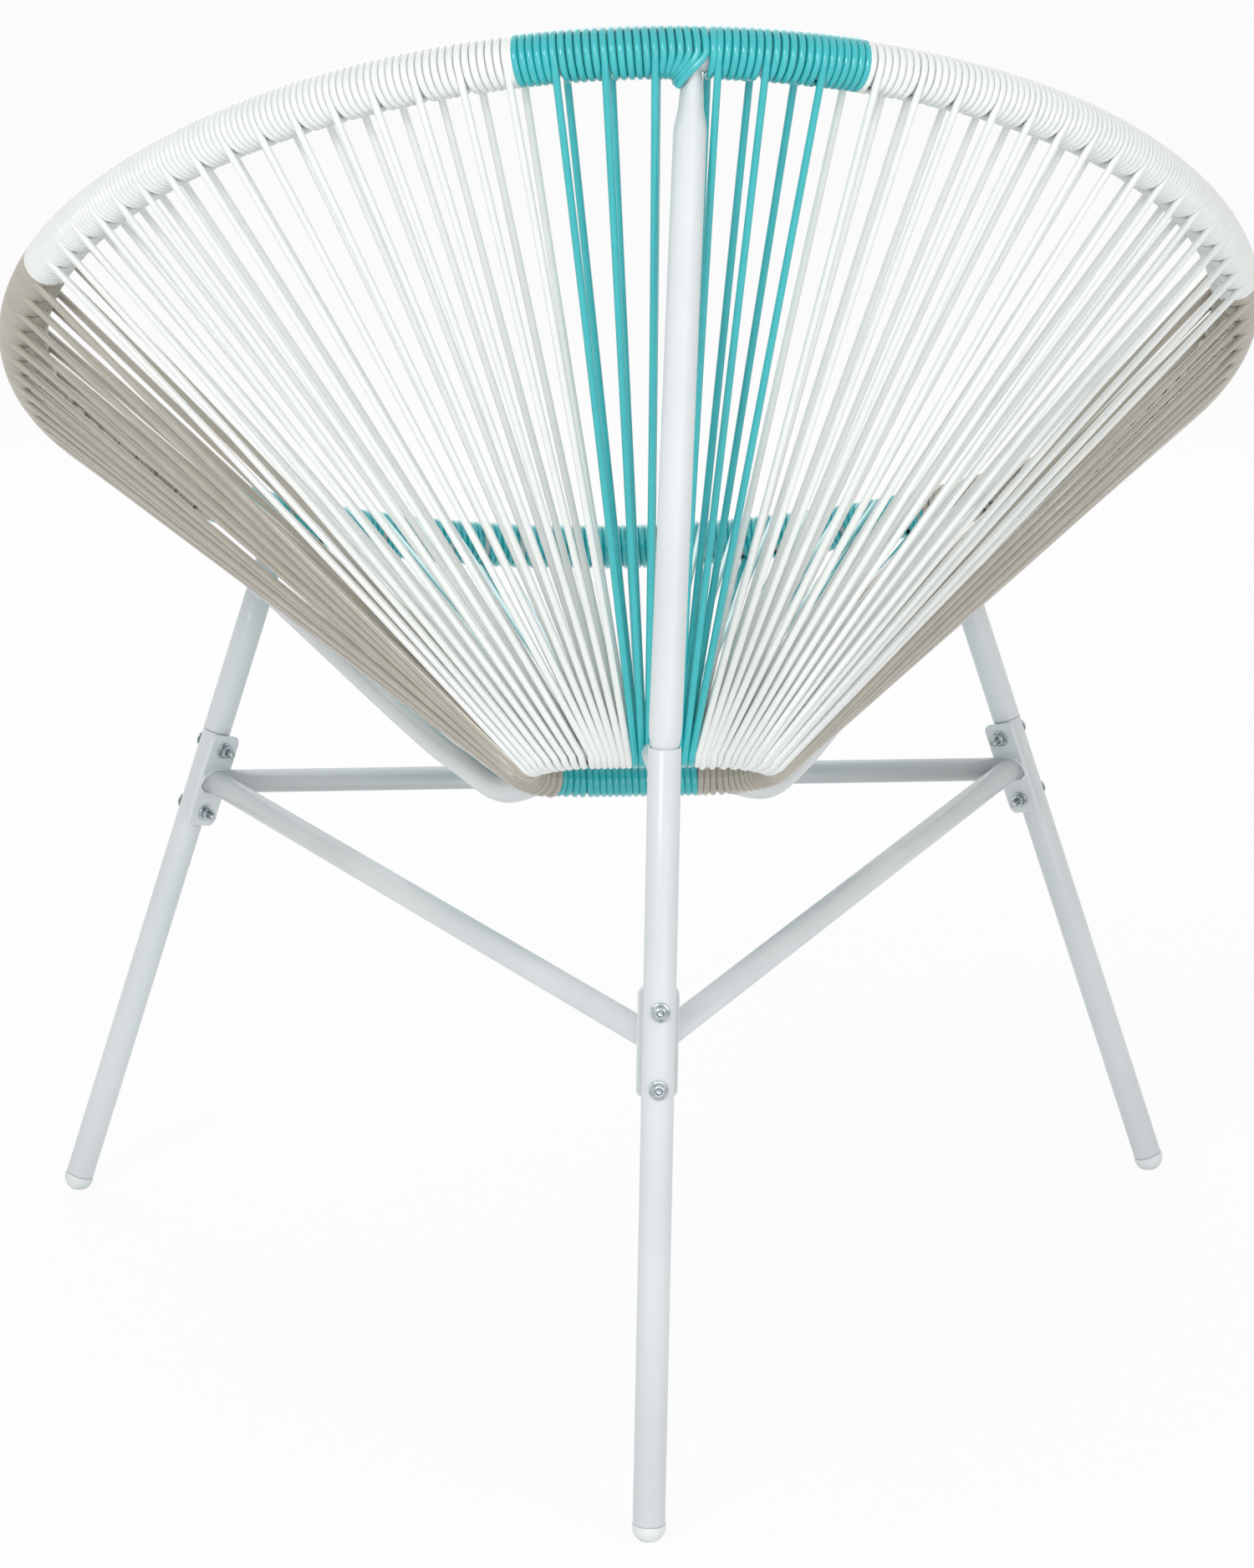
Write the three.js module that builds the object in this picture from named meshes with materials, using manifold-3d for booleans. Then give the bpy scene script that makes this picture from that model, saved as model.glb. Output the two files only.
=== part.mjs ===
// A laced lounge chair: a tilted egg-shaped rim of steel tube, a small seat ring, and plastic cord laced
// between them in six colour sections, on three tube legs that a triangle of stretchers braces.
// Millimetres, +Z up. The sitter faces -Y, the floor is z = 0 and the origin is under the middle.
import * as THREE from "three";
import { mergeVertices } from "three/addons/utils/BufferGeometryUtils.js";
import Module from "manifold-3d";

const wasm = await Module();
wasm.setup();

// Clearances and shared stock sizes
const weld_gap = 0.3;
const slip_gap = 0.35;
const cut_overrun = 40;
const leg_tube_diameter = 19;
const leg_tube_wall = 1.2;
const brace_tube_diameter = 16;

// Outer rim: the egg is half_width * sin t across and half_length * cos t + egg * cos 2t along the slope
const rim_half_width = 382;
const rim_half_length = 453;
const rim_egg = 15;
const rim_tilt_degrees = 27.7;
const rim_centre_back = -31;
const rim_centre_height = 645.5;
const rim_tube_diameter = 22;

// Seat ring: a stadium-shaped ring of thin tube, tilted like the rim but less
const seat_ring_width = 152;
const seat_ring_depth = 81;
const seat_ring_tilt_degrees = 24;
const seat_ring_tube_diameter = 12;
const seat_ring_side = 2;
const seat_ring_back = 250;
const seat_ring_height = 427;

// Rear leg: a straight lower leg and an upper tube that leans forward to the rim
const rear_foot = { side: 13, back: 415 };
const rear_joint = { side: 1, back: 418, height: 473 };
const rear_top_side = -19;
const rear_spigot_length = 42;
const rear_shoulder_length = 12;
const rear_pinch_width = 7.5;
const rear_pinch_depth = 21;
const rear_pinch_length = 32;
const rear_stub_diameter = 14;
const rear_stub_drop = 20;

// Front legs, mirrored left and right; the top's place is measured along the rim from the middle of the back
const front_foot = { side: 380, back: -363 };
const front_top_place = 1072;
const front_joint_height = 328;
const front_spigot_length = 62;

// Seat supports: from each front leg back to the front corners of the seat ring, sagging on the way.
// They stand a little to +X of the middle.
const support_diameter = 15;
const support_start_height = 431;
const support_middle_side = 7;
const support_half_way = { side: 137, back: 14, height: 409 };
const support_bend = { side: 105, back: 118, height: 402 };
const support_turn = { side: 80, back: 166, height: 395 };
const left_support_ring_share = 0.347;
const right_support_ring_share = 0.61;

// Brackets, bolts, washers and nuts where the stretchers meet the legs
const bracket_height = 297;
const plate_width = 24;
const plate_length = 66;
const plate_thickness = 3;
const plate_corner_radius = 5;
const plate_tube_gap = 0.3;
const bolt_spacing = 46;
const bolt_diameter = 5;
const bolt_head_diameter = 9;
const bolt_head_height = 3.4;
const bolt_tail = 6;
const washer_diameter = 11.5;
const washer_thickness = 1;
const nut_across_flats = 8;
const nut_height = 4;
const nut_dome_height = 2.4;
const front_bolt_turn_degrees = 42;

// Foot plugs
const foot_diameter = 20;
const foot_seam_height = 10;
const foot_flat_diameter = 11;
const foot_stem_length = 18;

// Lacing: one unbroken cord in each colour section. Places on the rim are measured along it from the
// middle of the back, positive towards +X. Each loop runs from the rim round the seat ring and back.
// A run is [from, to, loops]; the loops stand evenly in it.
const cord_diameter = 2.5;
const cord_clearance = 0.35;
const strand_spacing = 4.6;
const cord_least_gap = 0.4;
const stub_pass_width = 15;
const left_support_pass_width = 19;
const right_support_pass_width = 16;
const lacing_sections = [
  { name: "cord_back_teal", colour: "teal", runs: [[-92, -22, 3], [-3, 69, 3]], steep_after: [2] },
  { name: "cord_left_white", colour: "white", runs: [[82, 519, 15]], steep_after: [] },
  { name: "cord_left_taupe", colour: "taupe", runs: [[519, 1011, 16]], steep_after: [] },
  { name: "cord_front_teal", colour: "teal", runs: [[1011, 1553, 18]], steep_after: [1] },
  { name: "cord_right_taupe", colour: "taupe", runs: [[1559, 2056, 15]], steep_after: [] },
  { name: "cord_right_white", colour: "white", runs: [[2056, 2511, 15]], steep_after: [] },
];

// Facets
const tube_sides = 12;
const rim_steps = 72;
const seat_ring_steps = 40;
const support_steps = 12;
const round_sides = 12;
const cord_sides = 5;
const cord_turn_corners = 4;

const up = new THREE.Vector3(0, 0, 1);
const chair = new THREE.Group();

const finishes = {
  frame: new THREE.MeshStandardMaterial({ color: 0xdfe6e8, roughness: 0.42, metalness: 0.0 }),
  zinc: new THREE.MeshStandardMaterial({ color: 0xb9c2c6, roughness: 0.28, metalness: 1.0 }),
  plug: new THREE.MeshStandardMaterial({ color: 0xe3e8e8, roughness: 0.55, metalness: 0.0 }),
  teal: new THREE.MeshStandardMaterial({ color: 0x38bcc2, roughness: 0.35, metalness: 0.0 }),
  white: new THREE.MeshStandardMaterial({ color: 0xeef1ee, roughness: 0.35, metalness: 0.0 }),
  taupe: new THREE.MeshStandardMaterial({ color: 0xb1a69a, roughness: 0.4, metalness: 0.0 }),
};

function vec(x, y, z) {
  return new THREE.Vector3(x, y, z);
}

function addPiece(name, geometry, finish) {
  const mesh = new THREE.Mesh(geometry, finishes[finish]);
  mesh.name = name;
  chair.add(mesh);
  return mesh;
}

// Boolean helpers: a geometry as a closed solid, and the solid back as a geometry
function solidOf(geometry) {
  const bare = geometry.clone();
  bare.deleteAttribute("normal");
  bare.deleteAttribute("uv");
  const merged = mergeVertices(bare, 1e-4);
  return new wasm.Manifold(
    new wasm.Mesh({
      numProp: 3,
      vertProperties: new Float32Array(merged.attributes.position.array),
      triVerts: new Uint32Array(merged.index.array),
    }),
  );
}

function geometryOf(solid) {
  const mesh = solid.getMesh();
  const geometry = new THREE.BufferGeometry();
  geometry.setAttribute("position", new THREE.BufferAttribute(Float32Array.from(mesh.vertProperties), 3));
  geometry.setIndex(new THREE.BufferAttribute(Uint32Array.from(mesh.triVerts), 1));
  geometry.computeVertexNormals();
  return geometry;
}

function cutWith(geometry, cutters) {
  return geometryOf(cutters.reduce((rest, cutter) => rest.subtract(solidOf(cutter)), solidOf(geometry)));
}

function joinAll(geometries) {
  const solids = geometries.map(solidOf);
  return geometryOf(solids.slice(1).reduce((sum, solid) => sum.add(solid), solids[0]));
}

// Moves a geometry made along +Z from zero so that it runs from start in the given direction
function aim(geometry, start, direction, turn = 0) {
  const facing = new THREE.Quaternion().setFromUnitVectors(up, direction.clone().normalize());
  return geometry.clone().rotateZ(turn).applyQuaternion(facing).translate(start.x, start.y, start.z);
}

// The same, with the geometry's +X turned to lie as near as it can to the given side
function seat(geometry, start, direction, side) {
  const z = direction.clone().normalize();
  const y = z.clone().cross(side).normalize();
  const basis = new THREE.Matrix4().makeBasis(y.clone().cross(z), y, z).setPosition(start);
  return geometry.clone().applyMatrix4(basis);
}

// A turned solid about +Z: the profile runs up the outside as [radius, height] pairs
function turned(profile, sides = round_sides) {
  const points = profile.map(([radius, height]) => new THREE.Vector2(radius, height));
  return new THREE.LatheGeometry(points, sides).rotateX(Math.PI / 2);
}

function rod(diameter, length, sides = tube_sides) {
  return turned([[0, 0], [diameter / 2, 0], [diameter / 2, length], [0, length]], sides);
}

function pipe(outer, bore, length, sides = tube_sides) {
  const ro = outer / 2;
  const ri = bore / 2;
  return turned([[ri, 0], [ro, 0], [ro, length], [ri, length], [ri, 0]], sides);
}

// A ring of tube along a closed curve
function ringTube(curve, diameter, steps, sides) {
  return new THREE.TubeGeometry(curve, steps, diameter / 2, sides, true);
}

// A tube along an open curve
function bentTube(curve, diameter, steps, sides) {
  const section = new THREE.Shape().absarc(0, 0, diameter / 2, 0, 2 * Math.PI, false);
  return new THREE.ExtrudeGeometry(section, { steps, curveSegments: sides, extrudePath: curve });
}

// Outer rim and seat ring as closed curves that start at the middle of the back and turn towards +X
class RimCurve extends THREE.Curve {
  getPoint(share, target = new THREE.Vector3()) {
    const t = 2 * Math.PI * share;
    const tilt = THREE.MathUtils.degToRad(rim_tilt_degrees);
    const along = rim_half_length * Math.cos(t) + rim_egg * Math.cos(2 * t);
    return target.set(
      rim_half_width * Math.sin(t),
      rim_centre_back + along * Math.cos(tilt),
      rim_centre_height + along * Math.sin(tilt),
    );
  }
}

class SeatRingCurve extends THREE.Curve {
  constructor(inset = 0) {
    super();
    this.inset = inset;
  }
  getPoint(share, target = new THREE.Vector3()) {
    const tilt = THREE.MathUtils.degToRad(seat_ring_tilt_degrees);
    const straight = seat_ring_width - seat_ring_depth;
    const radius = seat_ring_depth / 2 - this.inset;
    const bend = Math.PI * radius;
    const total = 2 * (straight + bend);
    let place = (((share % 1) + 1) % 1) * total;
    let across;
    let along;
    if (place < straight / 2) {
      across = place;
      along = radius;
    } else if (place < straight / 2 + bend) {
      const angle = (place - straight / 2) / radius;
      across = straight / 2 + radius * Math.sin(angle);
      along = radius * Math.cos(angle);
    } else if (place < 1.5 * straight + bend) {
      across = straight + bend - place;
      along = -radius;
    } else if (place < 1.5 * straight + 2 * bend) {
      const angle = (place - 1.5 * straight - bend) / radius;
      across = -straight / 2 - radius * Math.sin(angle);
      along = -radius * Math.cos(angle);
    } else {
      across = place - total;
      along = radius;
    }
    return target.set(
      seat_ring_side + across,
      seat_ring_back + along * Math.cos(tilt),
      seat_ring_height + along * Math.sin(tilt),
    );
  }
}

const rim_curve = new RimCurve();
rim_curve.arcLengthDivisions = 720;
const seat_ring_curve = new SeatRingCurve();
seat_ring_curve.arcLengthDivisions = 720;

// Directions at a place on a tilted ring: outward in its plane, and square to its plane
function ringDirections(curve, share, tilt_degrees) {
  const tilt = THREE.MathUtils.degToRad(tilt_degrees);
  const rise = vec(0, -Math.sin(tilt), Math.cos(tilt));
  const outward = rise.clone().cross(curve.getTangentAt(share)).normalize();
  return { rise, outward };
}

// Frame: rim and seat ring
const rim_length = rim_curve.getLength();
const rim_geometry = ringTube(rim_curve, rim_tube_diameter, rim_steps, tube_sides);
const rim_clear = ringTube(rim_curve, rim_tube_diameter + 2 * weld_gap, rim_steps, tube_sides);
const seat_ring_geometry = ringTube(seat_ring_curve, seat_ring_tube_diameter, seat_ring_steps, round_sides);
const seat_ring_clear = ringTube(
  seat_ring_curve,
  seat_ring_tube_diameter + 2 * weld_gap,
  seat_ring_steps,
  round_sides,
);
addPiece("outer_rim", rim_geometry, "frame");
addPiece("seat_ring", seat_ring_geometry, "frame");

// A piece's bolt line: where the bracket sits on a leg's axis, the bolts' direction from head to nut,
// and the leg's own direction
function bracketPlace(foot, top, head_to_nut) {
  const share = bracket_height / (top.z - foot.z);
  const along = top.clone().sub(foot);
  const place = foot.clone().addScaledVector(along, share);
  const leg = along.normalize();
  const through = head_to_nut.clone().addScaledVector(leg, -head_to_nut.dot(leg)).normalize();
  return { place, leg, through };
}

const leg_bore = leg_tube_diameter - 2 * leg_tube_wall;
const spigot_diameter = leg_bore - 2 * slip_gap;
const bolt_hole = bolt_diameter + 2 * slip_gap;
const leg_radius = leg_tube_diameter / 2;

function boltHoleCutters(bracket) {
  return [-0.5, 0.5].map((side) => {
    const centre = bracket.place.clone().addScaledVector(bracket.leg, side * bolt_spacing);
    const start = centre.addScaledVector(bracket.through, -cut_overrun / 2);
    return aim(rod(bolt_hole, cut_overrun, round_sides), start, bracket.through);
  });
}

// A lower leg: a pipe from the foot plug's collar to the joint, drilled for the two bolts
function lowerLeg(name, foot, top, joint_height, bracket) {
  const along = top.clone().sub(foot);
  const leg = along.clone().normalize();
  const first = foot.clone().addScaledVector(leg, foot_seam_height / leg.z);
  const last = foot.clone().addScaledVector(along, (joint_height - foot.z) / along.z);
  const tube = aim(pipe(leg_tube_diameter, leg_bore, last.distanceTo(first)), first, leg);
  addPiece(name, cutWith(tube, boltHoleCutters(bracket)), "frame");
  return last;
}

// A foot plug: a stem in the pipe, a collar and a dome that is cut flat where it stands on the floor
function footPlug(name, foot, leg) {
  const outer = foot_diameter / 2;
  const dome_steps = 5;
  const profile = Array.from({ length: dome_steps + 1 }, (_, k) => {
    const angle = (k / dome_steps - 1) * (Math.PI / 2);
    return [k ? outer * Math.cos(angle) : 0, outer * Math.sin(angle)];
  });
  const dome_height = Math.sqrt(outer * outer - (foot_flat_diameter / 2) ** 2);
  const dome_centre = foot.clone().addScaledVector(leg, dome_height / leg.z);
  const collar = (foot_seam_height - dome_height) / leg.z - weld_gap;
  const dome = aim(turned([...profile, [outer, collar], [0, collar]]), dome_centre, leg);
  const stem = aim(rod(spigot_diameter, foot_stem_length), dome_centre, leg);
  const floor = new THREE.BoxGeometry(cut_overrun, cut_overrun, cut_overrun)
    .translate(dome_centre.x, dome_centre.y, -cut_overrun / 2);
  addPiece(name, cutWith(joinAll([dome, stem]), [floor]), "plug");
}

const rear_foot_point = vec(rear_foot.side, rear_foot.back, 0);
const rear_joint_point = vec(rear_joint.side, rear_joint.back, rear_joint.height);
const rear_bracket = bracketPlace(rear_foot_point, rear_joint_point, vec(0, -1, 0));
lowerLeg("rear_leg", rear_foot_point, rear_joint_point, rear_joint.height, rear_bracket);
footPlug("rear_foot_plug", rear_foot_point, rear_bracket.leg);

// Rear upper tube: a spigot in the leg, a shoulder, the full tube, and a pinched end under the rim
const rear_rim_share = (rear_top_side / rim_length + 1) % 1;
const rear_rim_point = rim_curve.getPointAt(rear_rim_share);
const rear_rim_under = rim_tube_diameter / 2 + weld_gap;
const rear_axis_end = rear_rim_point.clone().addScaledVector(up, -rear_rim_under);
const rear_upper_along = rear_axis_end.clone().sub(rear_joint_point);
const rear_upper_length = rear_upper_along.length();

function rearUpperTube() {
  const r = leg_radius;
  const spigot = spigot_diameter / 2;
  const thin = rear_pinch_width / 2;
  const deep = rear_pinch_depth / 2;
  const full = rear_upper_length - rear_pinch_length;
  const shoulder_share = 0.35;
  const pinch_shares = [0.35, 0.75];
  const stations = [
    { at: weld_gap, x: spigot - slip_gap, y: spigot - slip_gap },
    { at: rear_shoulder_length * shoulder_share, x: r - slip_gap, y: r - slip_gap },
    { at: rear_shoulder_length, x: r, y: r },
    { at: full, x: r, y: r },
    ...pinch_shares.map((share) => ({
      at: full + rear_pinch_length * share,
      x: r + (thin - r) * share,
      y: r + (deep - r) * share,
    })),
    { at: rear_upper_length + rim_tube_diameter / 2, x: thin, y: deep },
  ];
  const placed = seat(loft(stations, tube_sides), rear_joint_point, rear_upper_along, vec(1, 0, 0));
  const down = rear_bracket.leg.clone().negate();
  const inner = aim(rod(spigot_diameter, rear_spigot_length), rear_joint_point, down);
  const knuckle = new THREE.SphereGeometry(spigot - slip_gap, tube_sides, tube_sides / 2)
    .translate(rear_joint_point.x, rear_joint_point.y, rear_joint_point.z);
  return joinAll([largestOf(cutWith(placed, [rim_clear])), inner, knuckle]);
}

// A closed solid through elliptical stations along +Z
function loft(stations, sides) {
  const positions = [];
  const index = [];
  stations.forEach(({ at, x, y }) => {
    for (let k = 0; k < sides; k++) {
      const angle = (2 * Math.PI * k) / sides;
      positions.push(x * Math.cos(angle), y * Math.sin(angle), at);
    }
  });
  for (let s = 0; s + 1 < stations.length; s++) {
    for (let k = 0; k < sides; k++) {
      const a = s * sides + k;
      const b = s * sides + ((k + 1) % sides);
      index.push(a, b, b + sides, a, b + sides, a + sides);
    }
  }
  for (const [ring, turn] of [[0, -1], [stations.length - 1, 1]]) {
    const centre = positions.length / 3;
    positions.push(0, 0, stations[ring].at);
    for (let k = 0; k < sides; k++) {
      const a = ring * sides + k;
      const b = ring * sides + ((k + 1) % sides);
      index.push(...(turn > 0 ? [centre, a, b] : [centre, b, a]));
    }
  }
  const geometry = new THREE.BufferGeometry();
  geometry.setAttribute("position", new THREE.Float32BufferAttribute(positions, 3));
  geometry.setIndex(index);
  return geometry;
}

// The largest body of a cut solid: what is left beyond a cut falls away
function largestOf(geometry) {
  const bodies = solidOf(geometry).decompose();
  bodies.sort((a, b) => b.volume() - a.volume());
  return geometryOf(bodies[0]);
}

const rear_upper_geometry = rearUpperTube();
addPiece("rear_upper_tube", rear_upper_geometry, "frame");

// Rear stub: joins the rear upper tube to the back of the seat ring
const seat_ring_rear = seat_ring_curve.getPointAt(0);
const stub_height_share = 1 - rear_stub_drop / rear_joint.height;
const stub_start = rear_foot_point.clone().lerp(rear_joint_point, stub_height_share);
const stub_along = seat_ring_rear.clone().sub(stub_start);
const tube_clear = aim(
  rod(leg_tube_diameter + 2 * weld_gap, rear_joint.height),
  rear_foot_point,
  rear_bracket.leg,
);
const stub_rod = aim(rod(rear_stub_diameter, stub_along.length()), stub_start, stub_along);
addPiece("rear_ring_stub", largestOf(cutWith(stub_rod, [tube_clear, seat_ring_clear])), "frame");

// Front legs, their upper tubes, brackets and the seat supports, left (+X) and right (-X)
const brackets = { rear: rear_bracket };
for (const [side, sign] of [["left", 1], ["right", -1]]) {
  const foot = vec(sign * front_foot.side, front_foot.back, 0);
  const top = rim_curve.getPointAt(front_top_place / rim_length);
  top.x *= sign;
  const turn = THREE.MathUtils.degToRad(front_bolt_turn_degrees);
  const bracket = bracketPlace(foot, top, vec(-sign * Math.sin(turn), Math.cos(turn), 0));
  brackets[side] = bracket;
  const joint = lowerLeg(`${side}_front_leg`, foot, top, front_joint_height, bracket);
  footPlug(`${side}_front_foot_plug`, foot, bracket.leg);

  const reach = top.distanceTo(joint);
  const start = joint.clone().addScaledVector(bracket.leg, weld_gap);
  const body = aim(rod(leg_tube_diameter, reach), start, bracket.leg);
  const inner_start = joint.clone().addScaledVector(bracket.leg, -front_spigot_length);
  const spigot = aim(rod(spigot_diameter, front_spigot_length + leg_radius), inner_start, bracket.leg);
  const cut_body = largestOf(cutWith(body, [rim_clear]));
  const upper = cutWith(joinAll([cut_body, spigot]), boltHoleCutters(bracket));
  addPiece(`${side}_front_upper_tube`, upper, "frame");

  const from = foot.clone().addScaledVector(top.clone().sub(foot), support_start_height / top.z);
  const bends = [support_half_way, support_bend, support_turn].map((bend) =>
    vec(support_middle_side + sign * bend.side, bend.back, bend.height),
  );
  const end = seat_ring_curve.getPointAt(sign > 0 ? left_support_ring_share : right_support_ring_share);
  const curve = new THREE.CatmullRomCurve3([from, ...bends, end]);
  const leg_clear = aim(rod(leg_tube_diameter + 2 * weld_gap, reach), start, bracket.leg);
  const run = cutWith(bentTube(curve, support_diameter, support_steps, tube_sides), [leg_clear, seat_ring_clear]);
  addPiece(`${side}_seat_support`, largestOf(run), "frame");
}

// A bracket plate with two bolt holes, flat against the inner side of the leg
function plateAndBolts(name, bracket) {
  const { place, leg, through } = bracket;
  const half_w = plate_width / 2;
  const half_l = plate_length / 2;
  const r = plate_corner_radius;
  const outline = new THREE.Shape();
  outline.moveTo(-half_w + r, -half_l);
  outline.lineTo(half_w - r, -half_l);
  outline.absarc(half_w - r, -half_l + r, r, -Math.PI / 2, 0, false);
  outline.lineTo(half_w, half_l - r);
  outline.absarc(half_w - r, half_l - r, r, 0, Math.PI / 2, false);
  outline.lineTo(-half_w + r, half_l);
  outline.absarc(-half_w + r, half_l - r, r, Math.PI / 2, Math.PI, false);
  outline.lineTo(-half_w, -half_l + r);
  outline.absarc(-half_w + r, -half_l + r, r, Math.PI, 1.5 * Math.PI, false);
  for (const end of [-0.5, 0.5]) {
    const hole = new THREE.Path().absarc(0, end * bolt_spacing, bolt_hole / 2, 0, 2 * Math.PI, true);
    outline.holes.push(hole);
  }
  const flat = new THREE.ExtrudeGeometry(outline, { depth: plate_thickness, bevelEnabled: false, curveSegments: 4 });
  const side = leg.clone().cross(through).normalize();
  const start = place.clone().addScaledVector(through, leg_radius + plate_tube_gap);
  addPiece(`${name}_bracket_plate`, seat(flat, start, through, side), "frame");

  [["lower", -0.5], ["upper", 0.5]].forEach(([end, share]) => {
    const centre = place.clone().addScaledVector(leg, share * bolt_spacing);
    const head_face = centre.clone().addScaledVector(through, -(leg_radius + weld_gap + washer_thickness + weld_gap));
    const grip = 2 * leg_radius + plate_tube_gap + plate_thickness + 3 * weld_gap + washer_thickness;
    boltSet(`${name}_${end}`, head_face, through, grip);
  });
}

// The head's outline from its socket's floor out to its rim, as shares of its radius and height
const bolt_head_shares = [[0, 0.5], [0.48, 0.5], [0.48, 1], [0.7, 0.92], [0.95, 0.5], [1, 0]];
const nut_sides = 6;

// A round-headed bolt, its washer under the head and its domed nut
function boltSet(name, head_face, through, grip) {
  const head = bolt_head_diameter / 2;
  const shank = bolt_diameter / 2;
  const h = bolt_head_height;
  const length = grip + nut_height + bolt_tail;
  const profile = [
    ...bolt_head_shares.map(([radius_share, height_share]) => [head * radius_share, -h * height_share]),
    [shank, 0],
    [shank, length],
    [0, length],
  ];
  addPiece(`${name}_bolt`, aim(turned(profile), head_face, through), "zinc");
  const washer_start = head_face.clone().addScaledVector(through, weld_gap);
  addPiece(
    `${name}_washer`,
    aim(pipe(washer_diameter, bolt_hole, washer_thickness, round_sides), washer_start, through),
    "zinc",
  );
  const corner = nut_across_flats / Math.sqrt(3);
  const hexagon = new THREE.Shape().absarc(0, 0, corner, 0, 2 * Math.PI, false);
  const bore = (bolt_diameter + slip_gap) / 2;
  const nut_start = head_face.clone().addScaledVector(through, grip);
  const block = new THREE.ExtrudeGeometry(hexagon, { depth: nut_height, bevelEnabled: false, curveSegments: nut_sides / 2 });
  const collar_radius = nut_across_flats / 2 - slip_gap;
  const collar = turned([
    [0, nut_height / 2],
    [collar_radius, nut_height / 2],
    [collar_radius, nut_height],
    [bore + slip_gap, nut_height + nut_dome_height],
    [0, nut_height + nut_dome_height],
  ]);
  const drilled = cutWith(joinAll([block, collar]), [
    rod(2 * bore, nut_height + 2 * nut_dome_height, round_sides).translate(0, 0, -slip_gap),
  ]);
  addPiece(`${name}_nut`, aim(drilled, nut_start, through), "zinc");
}

for (const [name, bracket] of [["left_front", brackets.left], ["right_front", brackets.right], ["rear", rear_bracket]]) {
  plateAndBolts(name, bracket);
}

// Stretchers: a level triangle between the three plates, mitred where two meet
function cornerOf(bracket) {
  const out = leg_radius + plate_tube_gap + plate_thickness + weld_gap;
  return bracket.place.clone().addScaledVector(bracket.through, out);
}

function halfSpace(point, normal) {
  const size = seat_ring_width;
  return seat(
    new THREE.BoxGeometry(size, size, size).translate(0, 0, size / 2),
    point,
    normal,
    Math.abs(normal.z) > 0.9 ? vec(1, 0, 0) : up,
  );
}

const corners = { left: cornerOf(brackets.left), right: cornerOf(brackets.right), rear: cornerOf(rear_bracket) };
function stretcher(name, from, to, other_from, other_to, bracket_from, bracket_to) {
  const along = to.clone().sub(from).normalize();
  const start = from.clone().addScaledVector(along, -brace_tube_diameter);
  const bar = aim(rod(brace_tube_diameter, to.distanceTo(from) + 2 * brace_tube_diameter), start, along);
  const cutters = [];
  for (const [here, away, other, bracket] of [
    [from, to, other_from, bracket_from],
    [to, from, other_to, bracket_to],
  ]) {
    const own = away.clone().sub(here).normalize();
    const sibling = other.clone().sub(here).normalize();
    const mitre = sibling.clone().sub(own).normalize();
    cutters.push(halfSpace(here.clone().addScaledVector(mitre, -weld_gap / 2), mitre));
    cutters.push(halfSpace(here, bracket.through.clone().negate()));
  }
  addPiece(name, largestOf(cutWith(bar, cutters)), "frame");
}
stretcher("front_stretcher", corners.left, corners.right, corners.rear, corners.rear, brackets.left, brackets.right);
stretcher("left_stretcher", corners.left, corners.rear, corners.right, corners.right, brackets.left, rear_bracket);
stretcher("right_stretcher", corners.right, corners.rear, corners.left, corners.left, brackets.right, rear_bracket);

// Lacing. A turn of cord round a tube is a chain of corners that stands just clear of the tube, and
// the strands run straight from the last corner on the rim to the first on the seat ring.
const corner_step = Math.PI / cord_turn_corners;
function wrapRadius(tube_diameter) {
  return (tube_diameter / 2 + cord_clearance + cord_diameter / 2) / Math.cos(corner_step / 2);
}
const rim_wrap = wrapRadius(rim_tube_diameter);
const seat_ring_wrap = wrapRadius(seat_ring_tube_diameter);

// Places of the loops on the seat ring: even along the ring's inner side, where the cord is most
// crowded, with room left for the stub and for the two support ends.
const inner_curve = new SeatRingCurve(seat_ring_wrap);
inner_curve.arcLengthDivisions = 720;
const inner_length = inner_curve.getLength();
const loop_total = lacing_sections.flatMap((section) => section.runs).reduce((sum, run) => sum + run[2], 0);
const support_passes = [
  { share: left_support_ring_share, width: left_support_pass_width },
  { share: right_support_ring_share, width: right_support_pass_width },
];
const passes_width = stub_pass_width + left_support_pass_width + right_support_pass_width;
const seat_pitch = (inner_length - passes_width) / loop_total;

// The share of the inner curve that lies beside a share of the ring's own curve
function innerShare(ring_share) {
  const at = seat_ring_curve.getPointAt(ring_share);
  let best = 0;
  const trials = inner_curve.arcLengthDivisions;
  for (let k = 1; k < trials; k++) {
    const nearer = inner_curve.getPointAt(k / trials).distanceTo(at) < inner_curve.getPointAt(best).distanceTo(at);
    if (nearer) best = k / trials;
  }
  return best;
}
const pass_places = support_passes.map(({ share, width }) => ({ place: innerShare(share) * inner_length, width }));

function seatLoopPoint(order) {
  let place = stub_pass_width / 2 + (order + 0.5) * seat_pitch;
  for (const pass of pass_places) if (place > pass.place - pass.width / 2) place += pass.width;
  const share = place / inner_length;
  const inner = inner_curve.getPointAt(share);
  const tangent = inner_curve.getTangentAt(share);
  const { outward } = ringDirections(inner_curve, share, seat_ring_tilt_degrees);
  return { point: inner.addScaledVector(outward, seat_ring_wrap), tangent };
}

function rimPoint(place) {
  const share = (((place / rim_length) % 1) + 1) % 1;
  return { point: rim_curve.getPointAt(share), tangent: rim_curve.getTangentAt(share) };
}

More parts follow.
